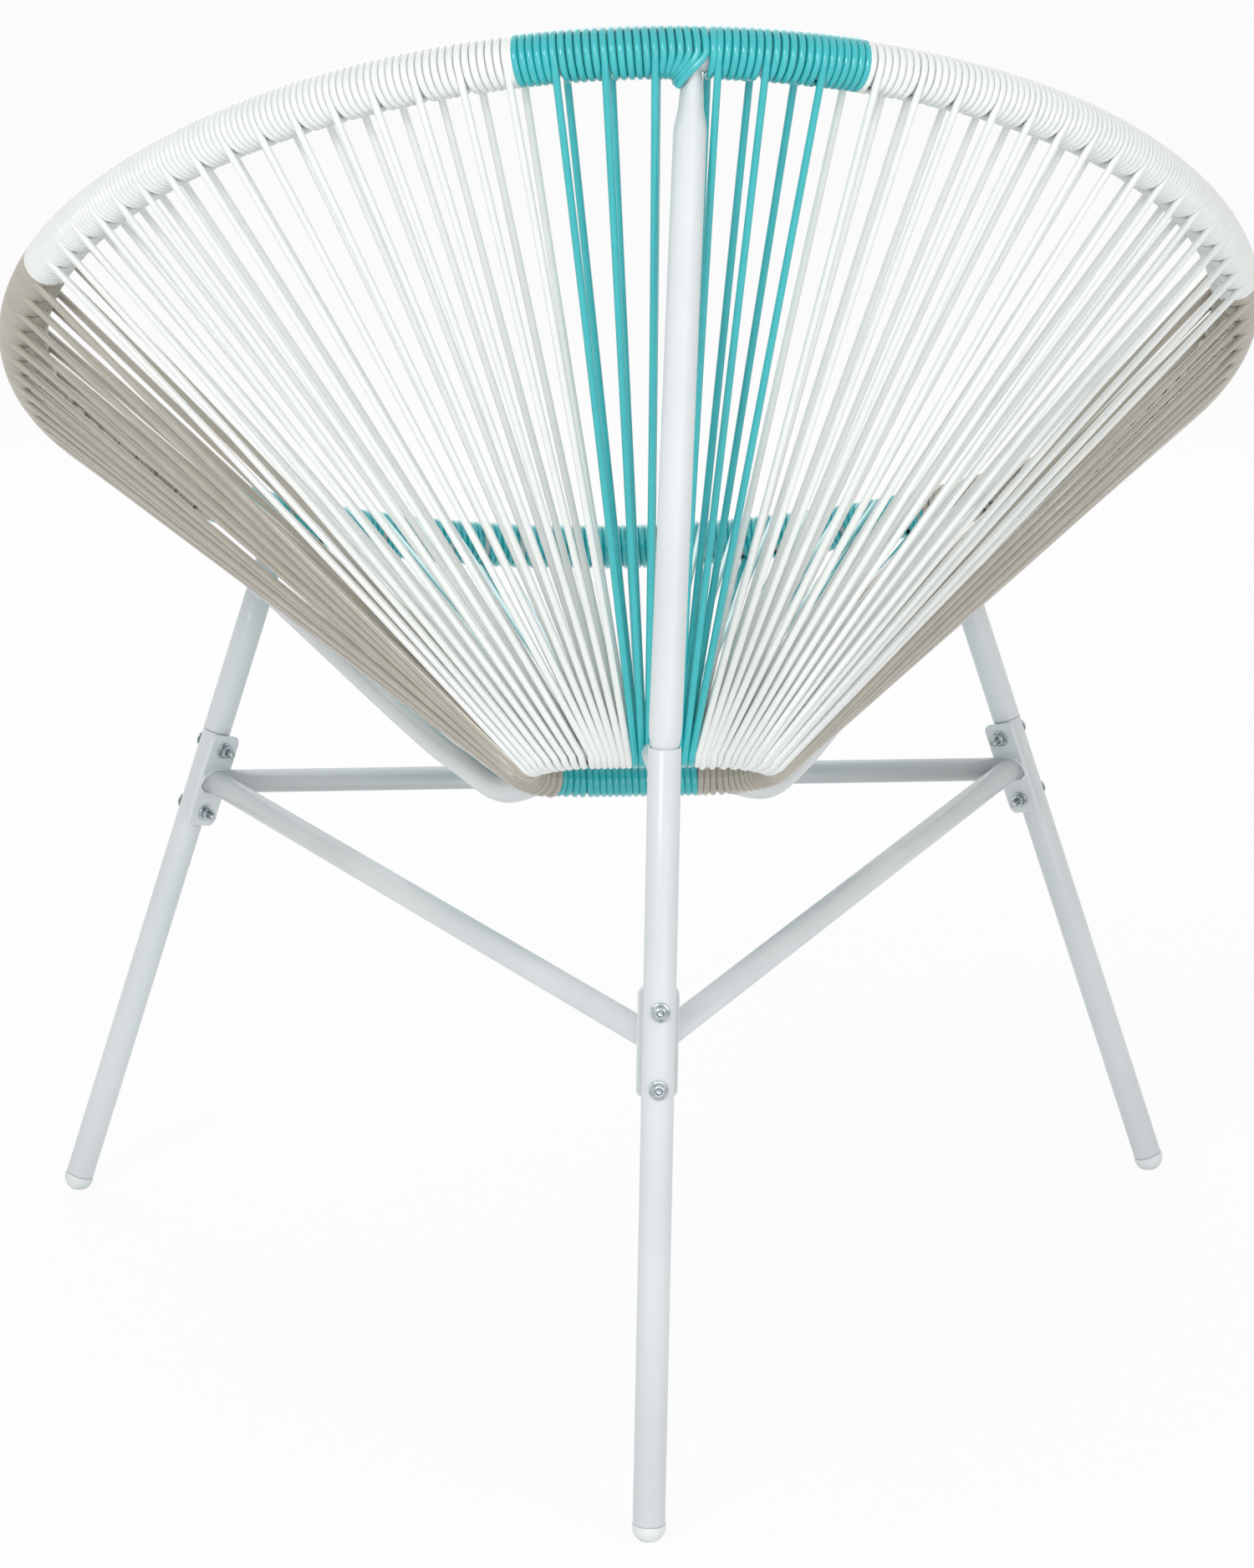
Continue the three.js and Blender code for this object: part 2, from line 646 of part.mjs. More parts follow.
// One corner of a turn: angle runs from -90 degrees on the lower side to +90 on the upper side, round
// the side of the tube that faces away from the other ring
function turnCorner(here, other, radius, angle) {
  const towards = other.clone().sub(here.point);
  towards.addScaledVector(here.tangent, -towards.dot(here.tangent)).normalize();
  const aside = here.tangent.clone().cross(towards);
  if (here.lower_first) aside.negate();
  return here.point
    .clone()
    .addScaledVector(towards, -radius * Math.cos(angle))
    .addScaledVector(aside, radius * Math.sin(angle));
}

const corner_angles = Array.from({ length: cord_turn_corners }, (_, k) => (k + 0.5) * corner_step - Math.PI / 2);

function rimTurn(from_place, to_place, from_seat, to_seat, steep) {
  return corner_angles.map((angle, k) => {
    const even = k / (cord_turn_corners - 1);
    const share = steep ? even * even * even : even;
    const here = { ...rimPoint(from_place + (to_place - from_place) * share), lower_first: true };
    return turnCorner(here, from_seat.clone().lerp(to_seat, share), rim_wrap, angle);
  });
}

function seatTurn(seat_place, rim_place) {
  return corner_angles
    .map((angle) => turnCorner(seat_place, rim_place, seat_ring_wrap, angle))
    .reverse();
}

function lacingPath(section, first_order) {
  const places = section.runs.flatMap(([from, to, loops]) =>
    Array.from({ length: loops }, (_, k) => from + ((k + 0.5) * (to - from)) / loops),
  );
  const seats = places.map((_, k) => seatLoopPoint((first_order + k + loop_total) % loop_total));
  const half = strand_spacing / 2;
  const path = rimTurn(places[0] - half, places[0] - half, seats[0].point, seats[0].point, false).slice(1);
  places.forEach((place, k) => {
    path.push(...seatTurn(seats[k], rimPoint(place).point));
    const last = k + 1 === places.length;
    const next = last ? place + half : places[k + 1] - half;
    const next_seat = last ? seats[k] : seats[k + 1];
    const steep = section.steep_after.includes(k);
    const turn = rimTurn(place + half, next, seats[k].point, next_seat.point, steep);
    path.push(...(last ? turn.slice(0, -1) : turn));
  });
  return path;
}

// A round cord along a chain of corners, each mitred, with flat ends
function cordAlong(path, diameter, sides) {
  const directions = path.slice(1).map((point, k) => point.clone().sub(path[k]).normalize());
  const side = vec(0, 0, 0);
  const trial = Math.abs(directions[0].z) < 0.5 ? up : vec(1, 0, 0);
  side.copy(trial).addScaledVector(directions[0], -trial.dot(directions[0])).normalize();
  const positions = [];
  path.forEach((point, k) => {
    const before = directions[Math.max(k - 1, 0)];
    const after = directions[Math.min(k, directions.length - 1)];
    const across = side.clone();
    const along = before.clone().add(after).normalize();
    for (let n = 0; n < sides; n++) {
      const spin = new THREE.Quaternion().setFromAxisAngle(before, (2 * Math.PI * n) / sides);
      const offset = across.clone().applyQuaternion(spin).multiplyScalar(diameter / 2);
      offset.addScaledVector(before, -offset.dot(along) / before.dot(along));
      positions.push(point.x + offset.x, point.y + offset.y, point.z + offset.z);
    }
    side.applyQuaternion(new THREE.Quaternion().setFromUnitVectors(before, after));
  });
  const index = [];
  for (let k = 0; k + 1 < path.length; k++) {
    for (let n = 0; n < sides; n++) {
      const a = k * sides + n;
      const b = k * sides + ((n + 1) % sides);
      index.push(a, b, b + sides, a, b + sides, a + sides);
    }
  }
  const end = (path.length - 1) * sides;
  for (let n = 1; n + 1 < sides; n++) {
    index.push(0, n + 1, n, end, end + n, end + n + 1);
  }
  const geometry = new THREE.BufferGeometry();
  geometry.setAttribute("position", new THREE.Float32BufferAttribute(positions, 3));
  geometry.setIndex(index);
  return geometry;
}

// The least distance between two straight pieces of a path
function piecesApart(a, b, c, d) {
  const u = b.clone().sub(a);
  const v = d.clone().sub(c);
  const w = a.clone().sub(c);
  const uu = u.dot(u);
  const uv = u.dot(v);
  const vv = v.dot(v);
  const spread = uu * vv - uv * uv;
  const clamp = THREE.MathUtils.clamp;
  let s = spread > 0 ? clamp((uv * v.dot(w) - vv * u.dot(w)) / spread, 0, 1) : 0;
  const t = clamp((uv * s + v.dot(w)) / vv, 0, 1);
  s = clamp((uv * t - u.dot(w)) / uu, 0, 1);
  return a.clone().addScaledVector(u, s).distanceTo(c.clone().addScaledVector(v, t));
}

function leastGap(path) {
  let least = Infinity;
  for (let i = 0; i + 1 < path.length; i++) {
    for (let j = i + 2; j + 1 < path.length; j++) {
      least = Math.min(least, piecesApart(path[i], path[i + 1], path[j], path[j + 1]));
    }
  }
  return least - cord_diameter;
}

let order = -lacing_sections[0].runs[0][2];
for (const section of lacing_sections) {
  const path = lacingPath(section, order);
  const gap = leastGap(path);
  const verdict = gap > cord_least_gap ? "clear" : "TOO CLOSE";
  console.log(`${section.name}: least gap to itself ${gap.toFixed(2)} mm, ${verdict}`);
  addPiece(section.name, cordAlong(path, cord_diameter, cord_sides), section.colour);
  order += section.runs.reduce((sum, run) => sum + run[2], 0);
}

export default chair;
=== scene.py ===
"""A laced lounge chair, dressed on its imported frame: powder-coated tube, zinc fasteners and glossy cord.

Metres, +Z up. The sitter faces -Y, and the photograph is taken from behind, from a little above.
"""

import math

import bpy
import numpy as np
from mathutils import Matrix, Vector


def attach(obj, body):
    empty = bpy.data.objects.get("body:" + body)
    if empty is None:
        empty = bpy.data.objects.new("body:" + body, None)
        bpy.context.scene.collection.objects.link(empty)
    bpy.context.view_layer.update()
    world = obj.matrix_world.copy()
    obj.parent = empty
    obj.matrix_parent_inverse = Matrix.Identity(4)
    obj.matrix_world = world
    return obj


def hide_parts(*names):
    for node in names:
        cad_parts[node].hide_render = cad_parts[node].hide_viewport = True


# Camera, found from the photograph's perspective
CAMERA_PLACE = (0.16675, 3.87479, 1.19507)
CAMERA_YAW = 0.04168
CAMERA_PITCH = 0.2116
CAMERA_ROLL = -0.00711
CAMERA_REACH = 50
FOCAL_PIXELS = 7454.84
IMAGE_HEIGHT = 1876
SENSOR_HEIGHT = 36

# Rim and seat ring
RIM_HALF_WIDTH = 0.382
RIM_HALF_LENGTH = 0.453
RIM_EGG = 0.015
RIM_TILT = math.radians(27.7)
RIM_CENTRE = np.array((0, -0.031, 0.6455))
RIM_RADIUS = 0.011
RIM_STEPS = 240
RIM_TABLE_STEPS = 4000
SEAT_WIDTH = 0.152
SEAT_DEPTH = 0.081
SEAT_TILT = math.radians(24)
SEAT_CENTRE = np.array((0.002, 0.250, 0.427))
SEAT_RADIUS = 0.006
SEAT_STEPS = 128

# Legs and stretchers
LEG_RADIUS = 0.0095
LEG_WALL = 0.0012
BRACE_RADIUS = 0.008
BRACE_CUT_SHARE = 1.3
REAR_FOOT = np.array((0.013, 0.415, 0))
REAR_JOINT = np.array((0.001, 0.418, 0.473))
FRONT_FOOT = np.array((0.380, -0.363, 0))
FRONT_TOP_PLACE = 1.072
FRONT_JOINT_HEIGHT = 0.328
SPIGOT_RADIUS = 0.0079
SPIGOT_LENGTH = 0.02
JOINT_GAP = 0.0003
JOINT_EDGE = 0.0005
JOINT_EDGE_TOP = 0.0009
LINE_STEPS = 900
REAR_LINE_SHARE = 1.2

# Rear upper tube: its foot as (height above the joint, radius), and its top, pressed flatter towards the
# rim, as (distance below the rim, half width, half depth)
REAR_TOP_PLACE = -0.019
REAR_NECK_SHAPE = (
    (-0.012, 0.0077),
    (0.0005, 0.0079),
    (0.004, 0.0088),
    (0.008, 0.0093),
    (0.013, LEG_RADIUS),
)
REAR_TOP_SHAPE = (
    (0.046, 0.0095, 0.0095),
    (0.041, 0.0091, 0.0098),
    (0.036, 0.0081, 0.0102),
    (0.031, 0.0072, 0.0104),
    (0.024, 0.0068, 0.0104),
    (0.017, 0.0062, 0.0104),
    (0.010, 0.0050, 0.0104),
    (0.004, 0.0038, 0.0104),
)

# Seat supports and the rear stub
SUPPORT_RADIUS = 0.0075
SUPPORT_START_HEIGHT = 0.431
SUPPORT_MIDDLE_SIDE = 0.007
SUPPORT_BENDS = ((0.137, 0.014, 0.409), (0.105, 0.118, 0.402), (0.080, 0.166, 0.395))
SUPPORT_RING_SHARES = {"left": 0.347, "right": 0.61}
SUPPORT_STEPS = 90
SUPPORT_STEPS_IN_RING = 3
SUPPORT_WELD_STEPS = 12
STUB_RADIUS = 0.007
STUB_DROP = 0.020

# Foot plugs
FOOT_RADIUS = 0.010
FOOT_FLAT_RADIUS = 0.0055
FOOT_SEAM_HEIGHT = 0.010
FOOT_SEAM_GAP = 0.0003
FOOT_STEPS = 14
FOOT_EDGE_HEIGHT_SHARE = 0.7
FOOT_EDGE_RADIUS_SHARE = 0.96

# Bracket plates
BRACKET_HEIGHT = 0.297
PLATE_WIDTH = 0.024
PLATE_LENGTH = 0.066
PLATE_THICKNESS = 0.003
PLATE_CORNER = 0.005
PLATE_CORNER_STEPS = 6
PLATE_EDGE = 0.0006
PLATE_GAP = 0.0003

# Bolts, washers and nuts: profiles are (radius, height), and the socket's heights are shares of the head
BOLT_SPACING = 0.046
BOLT_RADIUS = 0.0025
BOLT_TAIL = 0.006
BOLT_END = 0.0003
BOLT_END_SHARES = (0.9, 0.72)
FRONT_BOLT_TURN = math.radians(42)
FASTENER_GAP = 0.0003
HEAD_RADIUS = 0.0046
HEAD_HEIGHT = 0.0031
HEAD_EDGE = 0.0002
HEAD_DOME = math.radians(56)
HEAD_DOME_STEPS = 6
SOCKET_SHARES = ((0.0008, 0.1), (0.0022, 0.18), (0.0023, 0.8))
THREAD_PITCH = 0.00056
THREAD_RIDGES = 11
THREAD_START_SHARE = 0.9
THREAD_ROOT_SHARE = 0.88
WASHER_THICKNESS = 0.001
WASHER_PROFILE = (
    (0.0050, 0),
    (0.0057, 0.0002),
    (0.0057, 0.0008),
    (0.0052, WASHER_THICKNESS),
    (0.003, WASHER_THICKNESS),
)
SPLIT_THICKNESS = 0.0011
SPLIT_PROFILE = ((0.0050, 0), (0.0054, 0.0001), (0.0054, 0.0010), (0.0050, SPLIT_THICKNESS))
NUT_WIDTH = 0.008
NUT_HEIGHT = 0.004
NUT_FOOT_EDGE = 0.0005
NUT_FOOT_SHARE = 0.93
NUT_TOP_EDGE = 0.0008
NUT_TOP_SHARE = 0.86
NUT_BORE = 0.0029

# Weld beads
BEAD_RADIUS = 0.0016
LEG_BEAD_RADIUS = 0.0018
RING_BEAD_RADIUS = 0.0012
BEAD_STEPS = 56
BEAD_SEARCH_STEPS = 600
BEAD_RIPPLES = 9
BEAD_RIPPLE_SHARE = 0.25
BEAD_SINK_SHARE = 0.3
BEAD_RISE_SHARE = 0.35
FILLET_RADIUS = 0.0013
FILLET_INSET = 0.0004
FILLET_RIPPLES = 8
FILLET_RIPPLE_SHARE = 0.03

# Sides of the round sections
LEG_SIDES = 48
RIM_SIDES = 32
SEAT_SIDES = 24
SUPPORT_SIDES = 32
BOLT_SIDES = 32
WASHER_SIDES = 40
NUT_SIDES = 6
BEAD_SIDES = 10
CORD_SIDES = 10

# Cord
CORD_RADIUS = 0.00226
TURN_PITCH = 0.00455
TURN_STEPS = 20
SEAT_TURN_STEPS = 8
SEAT_TURN_ADVANCE = 0.0016
SEAT_SCATTER = 0.00012
STRAND_STEPS = 14
STRAND_BOW = 0.0007
RIM_WRAP = RIM_RADIUS + CORD_RADIUS
SEAT_WRAP = SEAT_RADIUS + CORD_RADIUS
SUPPORT_GAP = 0.0002
SUPPORT_CLEAR = SUPPORT_RADIUS + CORD_RADIUS + SUPPORT_GAP

# On the seat ring every second loop of a crowded run lies over its neighbours
CROWDED_SPACING = 0.0033
CROWDED_LIFT = 0.0013

# Rim runs: piece, colour, start and end along the rim, then its loops as first and last place of the
# strand at the back of the rim, count, distance to the strand at its front, first and last place on the
# seat ring's inner side. Left runs are wound one way and right runs the other.
TIP_PLACE = -0.0255
TIP_ANGLE = math.radians(-95)
END_ANGLE = math.radians(-120)
NATURAL = TURN_PITCH / 2
RUNS = (
    ("cord_back_teal", "teal", TIP_PLACE, 0.082, ((0.0028, 0.0575, 3, NATURAL, 0.0022, 0.0098),)),
    ("cord_left_white", "white", 0.082, 0.519, ((0.0838, 0.4873, 16, NATURAL, 0.0136, 0.0685),)),
    ("cord_left_taupe", "taupe", 0.519, 1.012, ((0.5230, 0.9850, 18, NATURAL, 0.0714, 0.1178),)),
    ("cord_front_teal", "teal", 1.012, 1.553, ((1.0200, 1.5400, 21, NATURAL, 0.1220, 0.2004),)),
    ("cord_back_teal", "teal", -0.0280, -0.119, (
        (-0.0315, -0.0580, 2, NATURAL, -0.0138, -0.0180),
        (-0.0903, -0.0903, 1, 0.0063, -0.0222, -0.0222),
    )),
    ("cord_right_white", "white", -0.119, -0.575, (
        (-0.1234, -0.1504, 2, 0.0070, -0.0262, -0.0291),
        (-0.1777, -0.5557, 15, 0.0156, -0.0320, -0.0721),
    )),
    ("cord_right_taupe", "taupe", -0.575, -1.078, ((-0.5870, -1.0580, 18, 0.0118, -0.0764, -0.1403),)),
)

# Turns that fill the rim between a loop's strands: from how many pitches apart, how many pitches from the
# front and the back strand they start and end, and how far round the rim
FILL_APART = 1.2
FILL_START = 0.3
FILL_END = 0.25
FILL_START_TURN = math.radians(110)
FILL_END_TURN = math.radians(75)

# Where the front tubes meet the rim, turns move aside: place, facing angle, half width, reach
RIM_WELDS = (
    (FRONT_TOP_PLACE, math.radians(-56), 0.0120, 0.045),
    (-FRONT_TOP_PLACE, math.radians(-56), 0.0120, 0.045),
)

# Where the rear tube meets the rim, the last turns lean over its end and the outermost ones rise. The lean
# covers an arc ahead of the weld and one behind it, and fades towards the ends of both.
REAR_WELD_ANGLE = math.radians(-100)
LEAN_START = 0.010
LEAN_PAST_TIP = 0.001
LEAN_REACH = 0.0155
LEAN_LIFT = 0.0062
LEAN_LIFT_FROM = 0.7
LEAN_ARC_AHEAD = math.radians(82)
LEAN_FADE_AHEAD = math.radians(76)
LEAN_ARC_BEHIND = math.radians(150)
LEAN_FADE_BEHIND = math.radians(120)

# Finishes: dark and light tones, and where on the noise they stand
CORD_TONES = {
    "teal": ((0.017, 0.425, 0.455), (0.022, 0.47, 0.50)),
    "white": ((0.785, 0.81, 0.785), (0.82, 0.845, 0.82)),
    "taupe": ((0.395, 0.362, 0.302), (0.445, 0.41, 0.345)),
}
COAT_TONES = ((0.63, 0.668, 0.676), (0.69, 0.724, 0.731))
ZINC_TONES = ((0.30, 0.34, 0.36), (0.62, 0.67, 0.70))
PLUG_TONES = ((0.7, 0.74, 0.74), (0.78, 0.81, 0.81))
TONE_STOPS = (0.3, 0.7)
GLOSS_ROUGHNESS = 0.07

# Floor and light: lamps are name, place, size and power
FLOOR_SIZE = 60
FLOOR_COLOUR = (0.93, 0.93, 0.93, 1)
FLOOR_GLOW = 0.88
WHITE = (1, 1, 1, 1)
WORLD_COLOUR = (0.985, 0.992, 1, 1)
WORLD_LIGHT = 0.72
LAMP_AIM = Vector((0, 0, 0.45))
LAMPS = (
    ("key_light", (1.5, 3.9, 2.6), 1.2, 56),
    ("low_light", (-1.2, 3.4, 0.5), 2.6, 30),
    ("front_light", (0.4, -3.0, 2.4), 2.6, 20),
)

# Shared by the curves and meshes
SWEEP_NAME = "sweep_round_tube"
SPLINE_SPAN_STEPS = 40
NEAR_PARALLEL = 0.1
LEAST_GAP = 1e-5
SEED = 7
random = np.random.default_rng(SEED)


# Curves


def unit(v):
    v = np.asarray(v, float)
    return v / np.linalg.norm(v, axis=-1, keepdims=True)


def reach_along(points):
    """Each point's distance from the first, along the points."""
    return np.concatenate([[0], np.cumsum(np.linalg.norm(np.diff(points, axis=0), axis=1))])


def tilted(across, along, centre, tilt):
    """Points of a tilted ring from their places across and along its plane."""
    return centre + np.stack([across, along * math.cos(tilt), along * math.sin(tilt)], axis=-1)


def rim_table():
    turn = np.linspace(0, 2 * math.pi, RIM_TABLE_STEPS + 1)
    along = RIM_HALF_LENGTH * np.cos(turn) + RIM_EGG * np.cos(2 * turn)
    points = tilted(RIM_HALF_WIDTH * np.sin(turn), along, RIM_CENTRE, RIM_TILT)
    return reach_along(points), points


RIM_PLACES, RIM_POINTS = rim_table()
RIM_LENGTH = RIM_PLACES[-1]


def rim_point(place):
    place = np.mod(place, RIM_LENGTH)
    return np.stack([np.interp(place, RIM_PLACES, RIM_POINTS[:, k]) for k in range(3)], axis=-1)


def rim_at(place):
    """Point, outward and rise at places along the rim, from its rearmost point to the left."""
    place = np.asarray(place, float)
    step = 2 * RIM_LENGTH / RIM_TABLE_STEPS
    tangent = unit(rim_point(place + step) - rim_point(place - step))
    rise = np.array((0, -math.sin(RIM_TILT), math.cos(RIM_TILT)))
    return rim_point(place), np.cross(rise, tangent), rise


def seat_length():
    return 2 * (SEAT_WIDTH - SEAT_DEPTH) + math.pi * SEAT_DEPTH


def seat_at(place, inset=0.0):
    """Point, outward and rise on the seat ring, at a place measured on it or on a curve inside it."""
    straight = SEAT_WIDTH - SEAT_DEPTH
    radius = SEAT_DEPTH / 2 - inset
    bend = math.pi * radius
    place = place % (2 * (straight + bend))
    if place < straight / 2:
        across, angle = place, 0.0
    elif place < straight / 2 + bend:
        across, angle = straight / 2, (place - straight / 2) / radius
    elif place < 1.5 * straight + bend:
        across, angle = straight + bend - place, math.pi
    elif place < 1.5 * straight + 2 * bend:
        across, angle = -straight / 2, math.pi + (place - 1.5 * straight - bend) / radius
    else:
        across, angle = place - 2 * (straight + bend), 0.0
    back = math.cos(angle)
    outward = np.array((math.sin(angle), back * math.cos(SEAT_TILT), back * math.sin(SEAT_TILT)))
    rise = np.array((0, -math.sin(SEAT_TILT), math.cos(SEAT_TILT)))
    middle = tilted(across, 0.0, SEAT_CENTRE, SEAT_TILT)
    return middle + outward * (SEAT_DEPTH / 2), outward, rise


def spline(points, count):
    """A smooth curve through points, evenly stepped."""
    points = np.asarray(points, float)
    padded = np.vstack([2 * points[0] - points[1], points, 2 * points[-1] - points[-2]])
    t = np.linspace(0, 1, SPLINE_SPAN_STEPS, endpoint=False)[:, None]
    spans = []
    for k in range(len(points) - 1):
        a, b, c, d = padded[k:k + 4]
        square = 2 * a - 5 * b + 4 * c - d
        cube = 3 * b - a - 3 * c + d
        spans.append(0.5 * (2 * b + (c - a) * t + square * t**2 + cube * t**3))
    dense = np.vstack(spans + [points[-1:]])
    reach = reach_along(dense)
    even = np.linspace(0, reach[-1], count)
    return np.stack([np.interp(even, reach, dense[:, k]) for k in range(3)], axis=-1)


# Materials


def new_material(name, rough, metal=0.0, coat=0.0):
    material = bpy.data.materials.new(name)
    material.use_nodes = True
    shader = material.node_tree.nodes["Principled BSDF"]
    shader.inputs["Roughness"].default_value = rough
    shader.inputs["Metallic"].default_value = metal
    shader.inputs["Coat Weight"].default_value = coat
    shader.inputs["Coat Roughness"].default_value = GLOSS_ROUGHNESS
    return material, material.node_tree.nodes, material.node_tree.links, shader


def noise(nodes, links, scale, detail):
    place = nodes.new("ShaderNodeTexCoord")
    texture = nodes.new("ShaderNodeTexNoise")
    texture.inputs["Scale"].default_value = scale
    texture.inputs["Detail"].default_value = detail
    links.new(place.outputs["Object"], texture.inputs["Vector"])
    return texture.outputs["Fac"]


def add_tones(nodes, links, shader, tones, scale):
    """A colour that drifts between a dark and a light tone."""
    ramp = nodes.new("ShaderNodeValToRGB")
    for element, stop, tone in zip(ramp.color_ramp.elements, TONE_STOPS, tones):
        element.position = stop
        element.color = (*tone, 1)
    links.new(noise(nodes, links, scale, detail=3), ramp.inputs["Fac"])
    links.new(ramp.outputs["Color"], shader.inputs["Base Color"])


def add_bump(nodes, links, shader, scale, strength, distance):
    """A finely uneven surface."""
    bump = nodes.new("ShaderNodeBump")
    bump.inputs["Strength"].default_value = strength
    bump.inputs["Distance"].default_value = distance
    links.new(noise(nodes, links, scale, detail=2), bump.inputs["Height"])
    links.new(bump.outputs["Normal"], shader.inputs["Normal"])


def cord_material(name, tones):
    """Glossy extruded plastic, slightly mottled, with a fine ripple."""
    material, nodes, links, shader = new_material(name, rough=0.28, coat=0.8)
    add_tones(nodes, links, shader, tones, scale=55)
    add_bump(nodes, links, shader, scale=200, strength=0.05, distance=0.0002)
    return material


def coat_material():
    """Powder coat: fine orange peel and slight changes of tone."""
    material, nodes, links, shader = new_material("frame_coat", rough=0.38, coat=0.15)
    add_tones(nodes, links, shader, COAT_TONES, scale=9)
    add_bump(nodes, links, shader, scale=900, strength=0.12, distance=0.0003)
    return material


def zinc_material():
    """Bright zinc plate with dark and light grains."""
    material, nodes, links, shader = new_material("zinc", rough=0.24, metal=1.0)
    add_tones(nodes, links, shader, ZINC_TONES, scale=300)
    add_bump(nodes, links, shader, scale=1500, strength=0.15, distance=0.0002)
    return material


def plug_material():
    """Moulded plastic with a fine grain."""
    material, nodes, links, shader = new_material("foot_plastic", rough=0.5)
    add_tones(nodes, links, shader, PLUG_TONES, scale=120)
    add_bump(nodes, links, shader, scale=700, strength=0.2, distance=0.0003)
    return material


# Meshes


def keep(obj, slot_name, *nodes):
    """The piece rides on the frame and stands for these nodes."""
    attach(obj, "root")
    if nodes:
        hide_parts(*nodes)
    return obj


def mesh_object(name, points, faces, material, smooth=True):
    mesh = bpy.data.meshes.new(name)
    mesh.from_pydata([tuple(p) for p in points], [], faces)
    mesh.materials.append(material)
    mesh.polygons.foreach_set("use_smooth", [smooth] * len(mesh.polygons))
    mesh.update()
    obj = bpy.data.objects.new(name, mesh)
    bpy.context.scene.collection.objects.link(obj)
    return obj


def skin_faces(rows, sides):
    """Faces over rows of points, each a ring of as many points, with a cap at both ends."""
    faces = []
    for k in range(rows - 1):
        for n in range(sides):
            a = k * sides + n
            b = k * sides + (n + 1) % sides
            faces.append((a, b, b + sides, a + sides))
    faces.append(tuple(reversed(range(sides))))
    faces.append(tuple(range((rows - 1) * sides, rows * sides)))
    return faces


def make_sweep_tree():
    """Geometry nodes: a round tube along each chain of edges."""
    tree = bpy.data.node_groups.new(SWEEP_NAME, "GeometryNodeTree")
    tree.interface.new_socket("Geometry", in_out="INPUT", socket_type="NodeSocketGeometry")
    tree.interface.new_socket("Radius", in_out="INPUT", socket_type="NodeSocketFloat")
    tree.interface.new_socket("Sides", in_out="INPUT", socket_type="NodeSocketInt")
    tree.interface.new_socket("Finish", in_out="INPUT", socket_type="NodeSocketMaterial")
    tree.interface.new_socket("Geometry", in_out="OUTPUT", socket_type="NodeSocketGeometry")
    nodes, links = tree.nodes, tree.links
    start = nodes.new("NodeGroupInput")
    to_curve = nodes.new("GeometryNodeMeshToCurve")
    section = nodes.new("GeometryNodeCurvePrimitiveCircle")
    to_mesh = nodes.new("GeometryNodeCurveToMesh")
    smooth = nodes.new("GeometryNodeSetShadeSmooth")
    realize = nodes.new("GeometryNodeRealizeInstances")
    finish = nodes.new("GeometryNodeSetMaterial")
    end = nodes.new("NodeGroupOutput")
    to_mesh.inputs["Fill Caps"].default_value = True
    links.new(start.outputs["Geometry"], to_curve.inputs["Mesh"])
    links.new(start.outputs["Radius"], section.inputs["Radius"])
    links.new(start.outputs["Sides"], section.inputs["Resolution"])
    links.new(to_curve.outputs["Curve"], to_mesh.inputs["Curve"])
    links.new(section.outputs["Curve"], to_mesh.inputs["Profile Curve"])
    links.new(to_mesh.outputs["Mesh"], smooth.inputs["Geometry"])
    links.new(smooth.outputs["Geometry"], realize.inputs["Geometry"])
    links.new(realize.outputs["Geometry"], finish.inputs["Geometry"])
    links.new(start.outputs["Finish"], finish.inputs["Material"])
    links.new(finish.outputs["Geometry"], end.inputs["Geometry"])


def run_tree(name, source, tree, settings):
    """The tree's result on the source object as a plain mesh object."""
    modifier = source.modifiers.new("shape", "NODES")
    modifier.node_group = tree
    for item in tree.interface.items_tree:
        if item.item_type == "SOCKET" and item.in_out == "INPUT" and item.name in settings:
            modifier[item.identifier] = settings[item.name]
    evaluated = source.evaluated_get(bpy.context.evaluated_depsgraph_get())
    mesh = bpy.data.meshes.new_from_object(evaluated)
    mesh.name = name
    obj = bpy.data.objects.new(name, mesh)
    bpy.context.scene.collection.objects.link(obj)
    bpy.data.objects.remove(source)
    return obj


def tube(name, paths, radius, sides, material, closed=False):
    """A round tube along each path of points."""
    points = []
    edges = []
    for path in paths:
        first = len(points)
        points += [tuple(p) for p in path]
        edges += [(first + k, first + k + 1) for k in range(len(path) - 1)]
        if closed:
            edges.append((len(points) - 1, first))
    mesh = bpy.data.meshes.new(name + "_path")
    mesh.from_pydata(points, edges, [])
    source = bpy.data.objects.new(name + "_path", mesh)
    bpy.context.scene.collection.objects.link(source)
    settings = {"Radius": radius, "Sides": sides, "Finish": material}
    return run_tree(name, source, bpy.data.node_groups[SWEEP_NAME], settings)


def across_pair(direction, towards=(0, 0, 1)):
    """Two directions square to a direction, the first as near as it can be to towards."""
    z = unit(direction)
    x = np.asarray(towards, float) - np.dot(towards, z) * z
    if np.linalg.norm(x) < NEAR_PARALLEL:
        x = np.array((1.0, 0, 0)) - z[0] * z
    x = unit(x)
    return x, np.cross(z, x)


def lofted(name, start, direction, stations, sides, material, towards=(1, 0, 0), smooth=True):
    """A solid along a line through stations of (height, half width, half depth)."""
    z = unit(direction)
    x, y = across_pair(direction, towards)
    turn = np.arange(sides) * 2 * math.pi / sides
    points = []
    for height, wide, deep in stations:
        along_x = np.outer(np.cos(turn) * wide, x)
        along_y = np.outer(np.sin(turn) * deep, y)
        points += list(start + z * height + along_x + along_y)
    return mesh_object(name, points, skin_faces(len(stations), sides), material, smooth)


def turned(name, start, direction, profile, sides, material):
    """A turned solid from (radius, height) pairs up the outside."""
    stations = [(height, radius, radius) for radius, height in profile]
    return lofted(name, start, direction, stations, sides, material)


